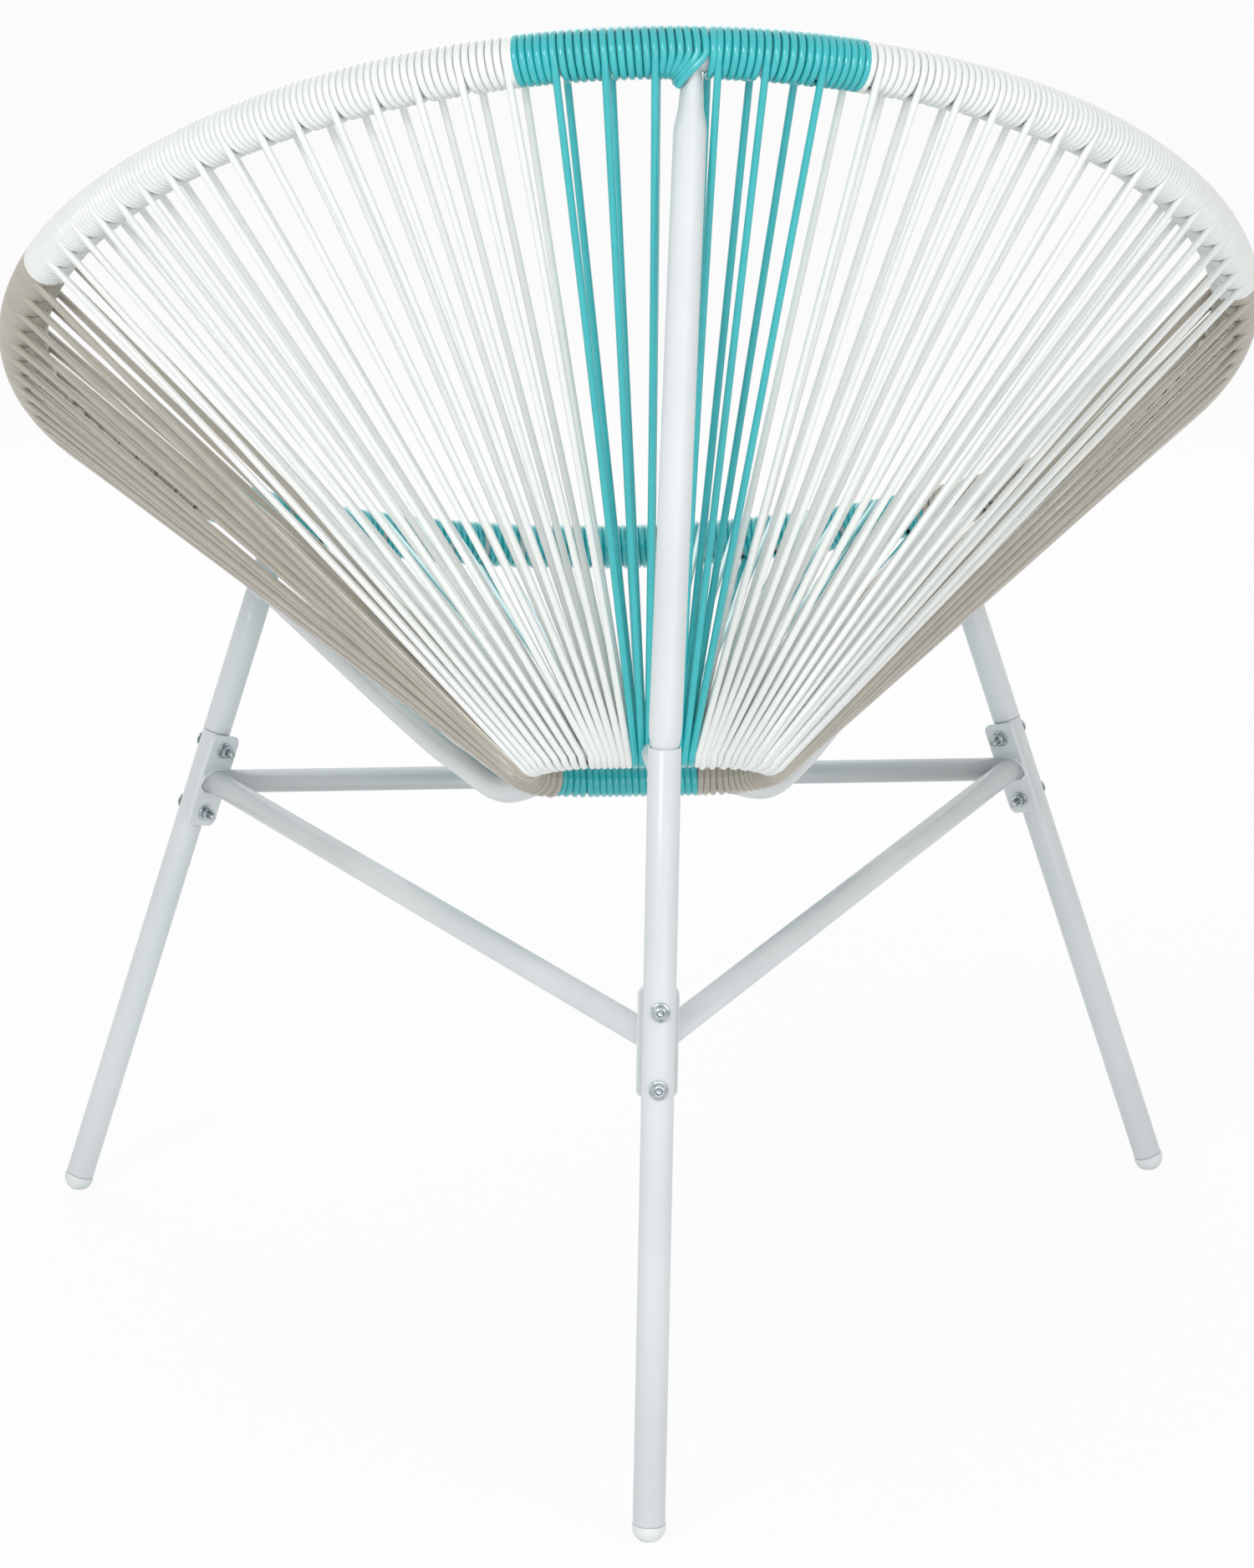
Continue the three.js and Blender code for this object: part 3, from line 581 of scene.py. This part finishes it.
def joined(name, pieces):
    """One mesh from several."""
    with bpy.context.temp_override(active_object=pieces[0], selected_editable_objects=pieces):
        bpy.ops.object.join()
    pieces[0].name = name
    pieces[0].data.name = name
    return pieces[0]


def weld_bead(name, start, direction, radius, line, line_radius, material, bead=BEAD_RADIUS):
    """A bead where a straight tube meets another tube, which is given by points on its middle line."""
    z = unit(direction)
    x, y = across_pair(direction)
    heights = np.linspace(0, 1, BEAD_SEARCH_STEPS)[:, None] * np.linalg.norm(direction)
    path = []
    for k in range(BEAD_STEPS):
        angle = 2 * math.pi * k / BEAD_STEPS
        out = math.cos(angle) * x + math.sin(angle) * y
        wall = start + out * radius + heights * z
        gap = np.linalg.norm(wall[:, None, :] - line[None, :, :], axis=2).min(axis=1)
        inside = np.nonzero(gap <= line_radius + bead * BEAD_SINK_SHARE)[0]
        meeting = inside[0] if len(inside) else int(gap.argmin())
        ripple = bead * BEAD_RIPPLE_SHARE * math.sin(BEAD_RIPPLES * angle)
        path.append(wall[meeting] + out * (bead * BEAD_RISE_SHARE + ripple))
    return tube(name, [path], bead, BEAD_SIDES, material, closed=True)


# Legs and their feet


def front_leg_line(sign):
    foot = FRONT_FOOT * (sign, 1, 1)
    top = rim_at(FRONT_TOP_PLACE)[0] * (sign, 1, 1)
    return foot, top


def point_at_height(foot, top, height):
    return foot + (top - foot) * (height - foot[2]) / (top[2] - foot[2])


def lower_leg(name, foot, top, joint_height, material):
    """A straight tube with rounded ends, and the mouth of its bore at the joint."""
    leg = unit(top - foot)
    first = foot + leg * FOOT_SEAM_HEIGHT / leg[2]
    length = np.linalg.norm(point_at_height(foot, top, joint_height) - first)
    bore = LEG_RADIUS - LEG_WALL
    lip = LEG_WALL / 3
    profile = (
        (LEG_RADIUS - lip, 0),
        (LEG_RADIUS, lip),
        (LEG_RADIUS, length - lip),
        (LEG_RADIUS - lip, length),
        (bore + lip, length),
        (bore, length - lip),
        (bore, length - 4 * LEG_WALL),
    )
    keep(turned(name + "_tube", first, leg, profile, LEG_SIDES, material), "frame_coat", name)


def foot_plug(name, foot, leg, material):
    """A domed plug, flat where it stands, with a collar up to the tube's end."""
    dome = math.sqrt(FOOT_RADIUS**2 - FOOT_FLAT_RADIUS**2)
    centre = foot + leg * dome / leg[2]
    collar = (FOOT_SEAM_HEIGHT - dome) / leg[2] - FOOT_SEAM_GAP
    rows = []
    for k in range(1, FOOT_STEPS + 1):
        angle = k / FOOT_STEPS * math.pi / 2
        rows.append((FOOT_RADIUS * math.sin(angle), -FOOT_RADIUS * math.cos(angle)))
    rows.append((FOOT_RADIUS, collar * FOOT_EDGE_HEIGHT_SHARE))
    rows.append((FOOT_RADIUS * FOOT_EDGE_RADIUS_SHARE, collar))
    rows.append((LEG_RADIUS - LEG_WALL, collar))
    x, y = across_pair(leg, (1, 0, 0))
    points = []
    for radius, height in rows:
        for n in range(LEG_SIDES):
            angle = 2 * math.pi * n / LEG_SIDES
            p = centre + leg * height + (math.cos(angle) * x + math.sin(angle) * y) * radius
            points.append((p[0], p[1], max(p[2], 0)))
    plug = mesh_object(name + "_dome", points, skin_faces(len(rows), LEG_SIDES), material)
    keep(plug, "foot_plastic", name)


# Brackets and stretchers


def bracket_plate(name, place, leg, through, material):
    """A flat plate with round corners and softened edges."""
    side = np.cross(leg, through)
    half_width = PLATE_WIDTH / 2 - PLATE_CORNER
    half_length = PLATE_LENGTH / 2 - PLATE_CORNER
    outline = []
    for sx, sy, first in ((1, 1, 0), (-1, 1, 1), (-1, -1, 2), (1, -1, 3)):
        for k in range(PLATE_CORNER_STEPS + 1):
            angle = (first + k / PLATE_CORNER_STEPS) * math.pi / 2
            u = sx * half_width + PLATE_CORNER * math.cos(angle)
            v = sy * half_length + PLATE_CORNER * math.sin(angle)
            outline.append((u, v))
    layers = (
        (0, PLATE_EDGE),
        (PLATE_EDGE, 0),
        (PLATE_THICKNESS - PLATE_EDGE, 0),
        (PLATE_THICKNESS, PLATE_EDGE),
    )
    origin = place + through * (LEG_RADIUS + PLATE_GAP)
    points = []
    for depth, inset in layers:
        narrower = 1 - inset / PLATE_WIDTH * 2
        shorter = 1 - inset / PLATE_LENGTH * 2
        points += [origin + side * u * narrower + leg * v * shorter + through * depth for u, v in outline]
    faces = skin_faces(len(layers), len(outline))
    plate = mesh_object(name + "_plate", points, faces, material, smooth=False)
    keep(plate, "frame_coat", name + "_bracket_plate")


def bolt(name, head_face, through, grip, material):
    """A round head with a socket, a shank, and a threaded end past the nut."""
    profile = [(radius, -HEAD_HEIGHT * share) for radius, share in SOCKET_SHARES]
    for angle in reversed(np.linspace(0, HEAD_DOME, HEAD_DOME_STEPS + 1)):
        profile.append((HEAD_RADIUS * math.cos(angle), -HEAD_HEIGHT * math.sin(angle)))
    profile.append((HEAD_RADIUS, HEAD_EDGE))
    profile.append((BOLT_RADIUS, FASTENER_GAP))
    for k in range(THREAD_RIDGES):
        height = grip + NUT_HEIGHT * THREAD_START_SHARE + k * THREAD_PITCH
        profile.append((BOLT_RADIUS, height))
        profile.append((BOLT_RADIUS * THREAD_ROOT_SHARE, height + THREAD_PITCH / 2))
    length = grip + NUT_HEIGHT + BOLT_TAIL
    profile.append((BOLT_RADIUS * BOLT_END_SHARES[0], length - BOLT_END))
    profile.append((BOLT_RADIUS * BOLT_END_SHARES[1], length))
    shank = turned(name + "_bolt_part", head_face, through, profile, BOLT_SIDES, material)
    keep(shank, "zinc", name + "_bolt")


def washer(name, head_face, through, material):
    start = head_face + through * FASTENER_GAP
    ring = turned(name + "_washer_ring", start, through, WASHER_PROFILE, WASHER_SIDES, material)
    keep(ring, "zinc", name + "_washer")


def nut(name, start, through, material):
    """A hexagonal nut on its split washer."""
    split = turned(name + "_split_ring", start, through, SPLIT_PROFILE, BOLT_SIDES, material)
    corner = NUT_WIDTH / math.sqrt(3)
    profile = (
        (corner * NUT_FOOT_SHARE, 0),
        (corner, NUT_FOOT_EDGE),
        (corner, NUT_HEIGHT - NUT_TOP_EDGE),
        (corner * NUT_TOP_SHARE, NUT_HEIGHT),
        (NUT_BORE, NUT_HEIGHT),
    )
    stations = [(height, radius, radius) for radius, height in profile]
    seat = start + through * SPLIT_THICKNESS
    upward = across_pair(through)[0]
    hexagon = lofted(name + "_nut_part", seat, through, stations, NUT_SIDES, material, upward, smooth=False)
    keep(joined(name + "_nut_set", [hexagon, split]), "zinc", name + "_nut")


def add_bracket(name, foot, top, head_to_nut, coat, zinc):
    """A plate and its two bolts. Gives the middle of the plate's face and the way that it faces."""
    place = point_at_height(foot, top, BRACKET_HEIGHT)
    leg = unit(top - foot)
    head_to_nut = np.asarray(head_to_nut, float)
    through = unit(head_to_nut - np.dot(head_to_nut, leg) * leg)
    bracket_plate(name, place, leg, through, coat)
    head_stand = WASHER_THICKNESS + 2 * FASTENER_GAP
    plate_face = LEG_RADIUS + PLATE_GAP + PLATE_THICKNESS
    grip = head_stand + LEG_RADIUS + plate_face + FASTENER_GAP
    for end, share in (("lower", -0.5), ("upper", 0.5)):
        head_face = place + leg * share * BOLT_SPACING - through * (LEG_RADIUS + head_stand)
        fastener = name + "_" + end
        bolt(fastener, head_face, through, grip, zinc)
        washer(fastener, head_face, through, zinc)
        nut(fastener, head_face + through * grip, through, zinc)
    return place + through * (plate_face + PLATE_GAP), through


def stretcher(name, start, end, start_through, end_through, coat):
    """A straight tube between two plates, cut along the plates' faces, with a weld fillet at each."""
    axis = unit(end - start)
    x, y = across_pair(axis)
    limit = BRACE_RADIUS * BRACE_CUT_SHARE
    points = []
    for base, through in ((start, start_through), (end, end_through)):
        for n in range(LEG_SIDES):
            angle = 2 * math.pi * n / LEG_SIDES
            offset = (math.cos(angle) * x + math.sin(angle) * y) * BRACE_RADIUS
            slide = -np.dot(offset, through) / np.dot(axis, through)
            points.append(base + offset + axis * float(np.clip(slide, -limit, limit)))
    pieces = [mesh_object(name + "_bar", points, skin_faces(2, LEG_SIDES), coat)]
    turn = np.arange(LEG_SIDES) * 2 * math.pi / LEG_SIDES
    ripple = 1 + FILLET_RIPPLE_SHARE * np.sin(turn * FILLET_RIPPLES)[:, None]
    for first, inward in ((0, axis), (LEG_SIDES, -axis)):
        loop = np.array(points[first:first + LEG_SIDES])
        middle = loop.mean(axis=0)
        path = middle + (loop - middle) * ripple + inward * FILLET_INSET
        pieces.append(tube(name + "_fillet", [path], FILLET_RADIUS, BEAD_SIDES, coat, closed=True))
    keep(joined(name + "_tube", pieces), "frame_coat", name)


# Frame


def make_rear_leg(seat_centres, coat, plastic):
    """The rear leg, its upper tube and the stub to the seat ring. Gives the stub's weld beads."""
    lower_leg("rear_leg", REAR_FOOT, REAR_JOINT, REAR_JOINT[2], coat)
    foot_plug("rear_foot_plug", REAR_FOOT, unit(REAR_JOINT - REAR_FOOT), plastic)
    along = rim_at(REAR_TOP_PLACE)[0] - REAR_JOINT
    length = np.linalg.norm(along)
    stations = [(height, radius, radius) for height, radius in REAR_NECK_SHAPE]
    stations += [(length - down, wide, deep) for down, wide, deep in REAR_TOP_SHAPE]
    upper = lofted("rear_upper_tube_skin", REAR_JOINT, along, stations, LEG_SIDES, coat)
    keep(upper, "frame_coat", "rear_upper_tube")

    line = REAR_JOINT - REAR_FOOT
    start = REAR_FOOT + line * (1 - STUB_DROP / REAR_JOINT[2])
    end = seat_at(0)[0]
    stub = tube("rear_stub_tube", [[start, end]], STUB_RADIUS, SUPPORT_SIDES, coat)
    keep(stub, "frame_coat", "rear_ring_stub")
    leg_points = REAR_FOOT + np.linspace(0, REAR_LINE_SHARE, LINE_STEPS)[:, None] * line
    at_leg = (end, start - end, STUB_RADIUS, leg_points, LEG_RADIUS)
    at_ring = (start, end - start, STUB_RADIUS, seat_centres, SEAT_RADIUS)
    return [
        weld_bead("stub_leg_bead", *at_leg, coat),
        weld_bead("stub_ring_bead", *at_ring, coat, RING_BEAD_RADIUS),
    ]


def front_upper_tube(side, joint, top, material):
    """A tube from the joint to the rim, with a spigot that sits in the lower leg."""
    profile = (
        (SPIGOT_RADIUS, -SPIGOT_LENGTH),
        (SPIGOT_RADIUS, JOINT_GAP),
        (LEG_RADIUS - JOINT_EDGE, JOINT_GAP),
        (LEG_RADIUS, JOINT_EDGE_TOP),
        (LEG_RADIUS, np.linalg.norm(top - joint)),
    )
    name = side + "_front_upper_tube"
    skin = turned(name + "_skin", joint, unit(top - joint), profile, LEG_SIDES, material)
    keep(skin, "frame_coat", name)


def seat_support(side, sign, foot, top, material):
    """A bent tube from the leg to the seat ring. Gives its middle line."""
    start = point_at_height(foot, top, SUPPORT_START_HEIGHT)
    bends = [np.array((SUPPORT_MIDDLE_SIDE + sign * x, y, z)) for x, y, z in SUPPORT_BENDS]
    end = seat_at(SUPPORT_RING_SHARES[side] * seat_length())[0]
    line = spline([start, *bends, end], SUPPORT_STEPS)
    name = side + "_seat_support"
    path = line[:-SUPPORT_STEPS_IN_RING]
    keep(tube(name + "_tube", [path], SUPPORT_RADIUS, SUPPORT_SIDES, material), "frame_coat", name)
    return line


def make_front_leg(side, sign, rim_centres, coat, zinc, plastic):
    """One front leg with its support and bracket. Gives weld beads, the support's line and the corner."""
    foot, top = front_leg_line(sign)
    joint = point_at_height(foot, top, FRONT_JOINT_HEIGHT)
    lower_leg(side + "_front_leg", foot, top, FRONT_JOINT_HEIGHT, coat)
    foot_plug(side + "_front_foot_plug", foot, unit(top - foot), plastic)
    front_upper_tube(side, joint, top, coat)
    at_rim = (joint, top - joint, LEG_RADIUS, rim_centres, RIM_RADIUS)
    beads = [weld_bead(side + "_leg_bead", *at_rim, coat, LEG_BEAD_RADIUS)]

    support = seat_support(side, sign, foot, top, coat)
    leg_points = joint + np.linspace(0, 1, LINE_STEPS)[:, None] * (top - joint)
    inner = support[SUPPORT_WELD_STEPS]
    at_leg = (inner, support[0] - inner, SUPPORT_RADIUS, leg_points, LEG_RADIUS)
    beads.append(weld_bead(side + "_support_bead", *at_leg, coat))

    head_to_nut = (-sign * math.sin(FRONT_BOLT_TURN), math.cos(FRONT_BOLT_TURN), 0)
    return beads, support, add_bracket(side + "_front", foot, top, head_to_nut, coat, zinc)


def make_frame(coat, zinc, plastic):
    """All of the frame. Gives the middle lines of the two seat supports."""
    rim_centres = rim_at(np.linspace(0, RIM_LENGTH, RIM_STEPS, endpoint=False))[0]
    rim = tube("rim_tube", [rim_centres], RIM_RADIUS, RIM_SIDES, coat, closed=True)
    keep(rim, "frame_coat", "outer_rim")
    seat_places = np.linspace(0, seat_length(), SEAT_STEPS, endpoint=False)
    seat_centres = np.array([seat_at(place)[0] for place in seat_places])
    ring = tube("seat_ring_tube", [seat_centres], SEAT_RADIUS, SEAT_SIDES, coat, closed=True)
    keep(ring, "frame_coat", "seat_ring")

    beads = make_rear_leg(seat_centres, coat, plastic)
    supports = []
    corners = {}
    for side, sign in (("left", 1), ("right", -1)):
        side_beads, support, corners[side] = make_front_leg(side, sign, rim_centres, coat, zinc, plastic)
        beads += side_beads
        supports.append(support)
    corners["rear"] = add_bracket("rear", REAR_FOOT, REAR_JOINT, (0, -1, 0), coat, zinc)
    for name, a, b in (("front", "left", "right"), ("left", "left", "rear"), ("right", "right", "rear")):
        start, start_through = corners[a]
        end, end_through = corners[b]
        stretcher(name + "_stretcher", start, end, start_through, end_through, coat)
    keep(joined("weld_beads", beads), "frame_coat")
    return supports


# Lacing


def beside_rim_welds(place, angle):
    """A turn's place, moved aside where a front tube is welded to the rim's lower side."""
    for weld, facing, clear, spread in RIM_WELDS:
        away = (place - weld + RIM_LENGTH / 2) % RIM_LENGTH - RIM_LENGTH / 2
        if abs(away) < spread:
            moved = math.copysign(clear + abs(away) * (spread - clear) / spread, away)
            lean = 0.5 + 0.5 * math.cos(angle - facing)
            place += (moved - away) * lean * lean
    return place


def over_rear_end(place, angle):
    """A turn's place and lift where the turns lean over the end of the rear upper tube."""
    if not TIP_PLACE - LEAN_PAST_TIP < place < LEAN_START:
        return place, 0.0
    share = (LEAN_START - place) / (LEAN_START - TIP_PLACE)
    aside = (angle - REAR_WELD_ANGLE + math.pi) % (2 * math.pi) - math.pi
    if aside > 0:
        lean = (LEAN_ARC_AHEAD - aside) / LEAN_FADE_AHEAD
    else:
        lean = (LEAN_ARC_BEHIND + aside) / LEAN_FADE_BEHIND
    lean = min(max(lean, 0), 1)
    lean = lean * lean * (3 - 2 * lean)
    rising = max(0, (share - LEAN_LIFT_FROM) / (1 - LEAN_LIFT_FROM))
    return place + LEAN_REACH * share**2 * lean, LEAN_LIFT * rising * lean


def rim_turn_point(place, angle):
    """A point of the cord on the rim, at an angle round the rim's tube."""
    place, lift = over_rear_end(beside_rim_welds(place, angle), angle)
    point, outward, rise = rim_at(place)
    return point + (RIM_WRAP + lift) * (math.cos(angle) * outward + math.sin(angle) * rise)


def rim_turns(start, start_angle, end, end_angle):
    """Turns between two places, their number chosen so that they lie close side by side."""
    part = ((end_angle - start_angle) / (2 * math.pi)) % 1
    turns = max(0, round(abs(end - start) / TURN_PITCH - part)) + part
    angle = 2 * math.pi * turns
    steps = max(2, int(round(turns * TURN_STEPS)))
    path = []
    for k in range(steps + 1):
        path.append(rim_turn_point(start + (end - start) * k / steps, start_angle + angle * k / steps))
    return path


def facing_angle(here, there):
    """The angle, round a ring's own tube, of the way to another point."""
    point, outward, rise = here
    way = there - point
    return math.atan2(np.dot(way, rise), np.dot(way, outward))


def seat_loop(place, rim_end, hand, stack):
    """The half turn round the seat ring's inner side, from its upper to its lower strand."""
    facing = facing_angle(seat_at(place, SEAT_WRAP), rim_end)
    path = []
    for share in np.linspace(-0.5, 0.5, SEAT_TURN_STEPS + 1):
        point, outward, rise = seat_at(place + hand * share * SEAT_TURN_ADVANCE, SEAT_WRAP)
        angle = facing + (1 + share) * math.pi
        path.append(point + (SEAT_WRAP + stack) * (math.cos(angle) * outward + math.sin(angle) * rise))
    return path


def strand(start, end, supports):
    """A taut strand, very slightly bowed, that lies on a seat support where it would meet one.

    Its points lie closer together towards the seat ring.
    """
    even = np.linspace(0, 1, STRAND_STEPS + 1)[:, None]
    if np.linalg.norm(start - RIM_CENTRE) > np.linalg.norm(end - RIM_CENTRE):
        share = 0.5 * even + 0.5 * (1 - (1 - even) ** 2)
    else:
        share = 0.5 * even + 0.5 * even**2
    sideways = unit(np.cross(end - start, (0.0, 0.0, 1.0))) * random.normal(0, STRAND_BOW)
    sagging = np.array((0, 0, -1)) * abs(random.normal(0, STRAND_BOW))
    points = start + (end - start) * share + 4 * share * (1 - share) * (sideways + sagging)
    for support in supports:
        for k in range(1, len(points) - 1):
            away = points[k] - support
            gap = np.linalg.norm(away, axis=1)
            near = int(gap.argmin())
            if gap[near] < SUPPORT_CLEAR:
                points[k] = support[near] + away[near] * SUPPORT_CLEAR / max(gap[near], LEAST_GAP)
    return list(points[1:-1])


def loop_places(groups):
    """Each loop's place at the back of the rim, distance to its front strand, and place on the ring."""
    loops = []
    for first, last, count, apart, seat_first, seat_last in groups:
        for k in range(count):
            share = k / max(1, count - 1)
            back_place = first + (last - first) * share
            loops.append((back_place, apart, seat_first + (seat_last - seat_first) * share))
    return loops


def is_crowded(group):
    """Whether a group's loops stand so close on the seat ring that they have to overlap."""
    count, seat_first, seat_last = group[2], group[4], group[5]
    return abs(seat_last - seat_first) / max(1, count - 1) < CROWDED_SPACING


def filling_turns(front_place, leave, back_place, back, hand):
    """Turns on the rim between a loop's two strands."""
    start = front_place + hand * FILL_START * TURN_PITCH
    end = back_place - hand * FILL_END * TURN_PITCH
    return rim_turns(start, leave + FILL_START_TURN, end, back - FILL_END_TURN)


def run_paths(start, end, groups, supports):
    """One run's cord, packed round the rim with its loops to the seat ring, and its filling turns."""
    hand = 1 if end > start else -1
    stack = CROWDED_LIFT if is_crowded(groups[0]) else 0.0
    path = []
    fillers = []
    place = start
    angle = TIP_ANGLE if start == TIP_PLACE else END_ANGLE
    for order, (back_place, apart, seat_place) in enumerate(loop_places(groups)):
        front_place = back_place - hand * apart
        here = rim_at((front_place + back_place) / 2)
        facing = facing_angle(here, seat_at(seat_place, SEAT_WRAP)[0])
        leave = facing - math.pi / 2
        back = facing + math.pi / 2
        path += rim_turns(place, angle, front_place, leave)
        scattered = seat_place + random.normal(0, SEAT_SCATTER)
        loop = seat_loop(scattered, here[0], hand, stack * (order % 2))
        path += strand(path[-1], loop[0], supports)
        path += loop
        path += strand(loop[-1], rim_turn_point(back_place, back), supports)
        if apart > FILL_APART * TURN_PITCH:
            fillers.append(filling_turns(front_place, leave, back_place, back, hand))
        place = back_place
        angle = back
    path += rim_turns(place, angle, end, END_ANGLE)
    return [path] + fillers


def make_lacing(materials, supports):
    """Each colour section of cord as one piece, from all of its runs."""
    chains = {}
    for name, colour, start, end, groups in RUNS:
        chains.setdefault((name, colour), []).extend(run_paths(start, end, groups, supports))
    for (name, colour), paths in chains.items():
        piece = tube(name + "_lacing", paths, CORD_RADIUS, CORD_SIDES, materials[colour])
        keep(piece, "cord_" + colour, name)


# Stage


def larger(nodes, links, first, second):
    """The larger of two values in a material."""
    either = nodes.new("ShaderNodeMath")
    either.operation = "MAXIMUM"
    links.new(first, either.inputs[0])
    links.new(second, either.inputs[1])
    return either.outputs[0]


def seen_directly(nodes, links):
    """One where a ray comes from the camera, or by way of metal, gloss or glass."""
    rays = nodes.new("ShaderNodeLightPath").outputs
    seen = larger(nodes, links, rays["Is Camera Ray"], rays["Is Glossy Ray"])
    return larger(nodes, links, seen, rays["Is Transmission Ray"])


def floor_material():
    """A white floor that keeps a soft part of the shadow."""
    material, nodes, links, shader = new_material("floor_white", rough=0.9)
    shader.inputs["Base Color"].default_value = FLOOR_COLOUR
    glow = nodes.new("ShaderNodeEmission")
    glow.inputs["Color"].default_value = WHITE
    glow.inputs["Strength"].default_value = 1
    part = nodes.new("ShaderNodeMath")
    part.operation = "MULTIPLY"
    part.inputs[1].default_value = FLOOR_GLOW
    mix = nodes.new("ShaderNodeMixShader")
    links.new(seen_directly(nodes, links), part.inputs[0])
    links.new(part.outputs[0], mix.inputs["Fac"])
    links.new(shader.outputs["BSDF"], mix.inputs[1])
    links.new(glow.outputs["Emission"], mix.inputs[2])
    links.new(mix.outputs["Shader"], nodes["Material Output"].inputs["Surface"])
    return material


def make_floor():
    half = FLOOR_SIZE / 2
    corners = [(-half, -half, 0), (half, -half, 0), (half, half, 0), (-half, half, 0)]
    mesh = bpy.data.meshes.new("floor")
    mesh.from_pydata(corners, [], [(0, 1, 2, 3)])
    mesh.materials.append(floor_material())
    floor = bpy.data.objects.new("floor", mesh)
    bpy.context.scene.collection.objects.link(floor)


def make_world():
    """Soft light from all round, seen as white."""
    world = bpy.data.worlds.new("studio")
    bpy.context.scene.world = world
    world.use_nodes = True
    nodes, links = world.node_tree.nodes, world.node_tree.links
    light = nodes["Background"]
    light.inputs["Color"].default_value = WORLD_COLOUR
    light.inputs["Strength"].default_value = WORLD_LIGHT
    white = nodes.new("ShaderNodeBackground")
    white.inputs["Color"].default_value = WHITE
    white.inputs["Strength"].default_value = 1
    mix = nodes.new("ShaderNodeMixShader")
    links.new(seen_directly(nodes, links), mix.inputs["Fac"])
    links.new(light.outputs["Background"], mix.inputs[1])
    links.new(white.outputs["Background"], mix.inputs[2])
    links.new(mix.outputs["Shader"], nodes["World Output"].inputs["Surface"])


def make_lamps():
    for name, place, size, power in LAMPS:
        lamp = bpy.data.lights.new(name, "AREA")
        lamp.size = size
        lamp.energy = power
        light = bpy.data.objects.new(name, lamp)
        light.location = place
        light.rotation_euler = (LAMP_AIM - Vector(place)).to_track_quat("-Z", "Y").to_euler()
        bpy.context.scene.collection.objects.link(light)


def make_camera():
    yaw, pitch, roll = CAMERA_YAW, CAMERA_PITCH, CAMERA_ROLL
    level = Vector((-math.sin(yaw), -math.cos(yaw), 0))
    right = Vector((-math.cos(yaw), math.sin(yaw), 0))
    forward = math.cos(pitch) * level - math.sin(pitch) * Vector((0, 0, 1))
    upward = math.sin(pitch) * level + math.cos(pitch) * Vector((0, 0, 1))
    across = math.cos(roll) * right + math.sin(roll) * upward
    above = -math.sin(roll) * right + math.cos(roll) * upward
    lens = bpy.data.cameras.new("photo_camera")
    lens.sensor_fit = "VERTICAL"
    lens.sensor_height = SENSOR_HEIGHT
    lens.lens = FOCAL_PIXELS / IMAGE_HEIGHT * SENSOR_HEIGHT
    lens.clip_end = CAMERA_REACH
    camera = bpy.data.objects.new("photo_camera", lens)
    turn = Matrix((across, above, -forward)).transposed()
    camera.matrix_world = Matrix.Translation(CAMERA_PLACE) @ turn.to_4x4()
    bpy.context.scene.collection.objects.link(camera)
    bpy.context.scene.camera = camera


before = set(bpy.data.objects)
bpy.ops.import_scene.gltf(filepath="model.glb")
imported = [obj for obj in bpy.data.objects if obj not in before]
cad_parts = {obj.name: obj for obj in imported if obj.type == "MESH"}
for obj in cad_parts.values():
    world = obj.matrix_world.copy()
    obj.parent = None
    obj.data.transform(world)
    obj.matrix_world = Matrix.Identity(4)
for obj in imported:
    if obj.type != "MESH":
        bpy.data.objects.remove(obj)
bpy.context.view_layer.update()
bpy.context.scene.view_settings.view_transform = "Standard"
make_sweep_tree()
make_camera()
make_floor()
make_world()
make_lamps()
support_lines = make_frame(coat_material(), zinc_material(), plug_material())
cord_materials = {colour: cord_material("cord_" + colour, tones) for colour, tones in CORD_TONES.items()}
make_lacing(cord_materials, support_lines)
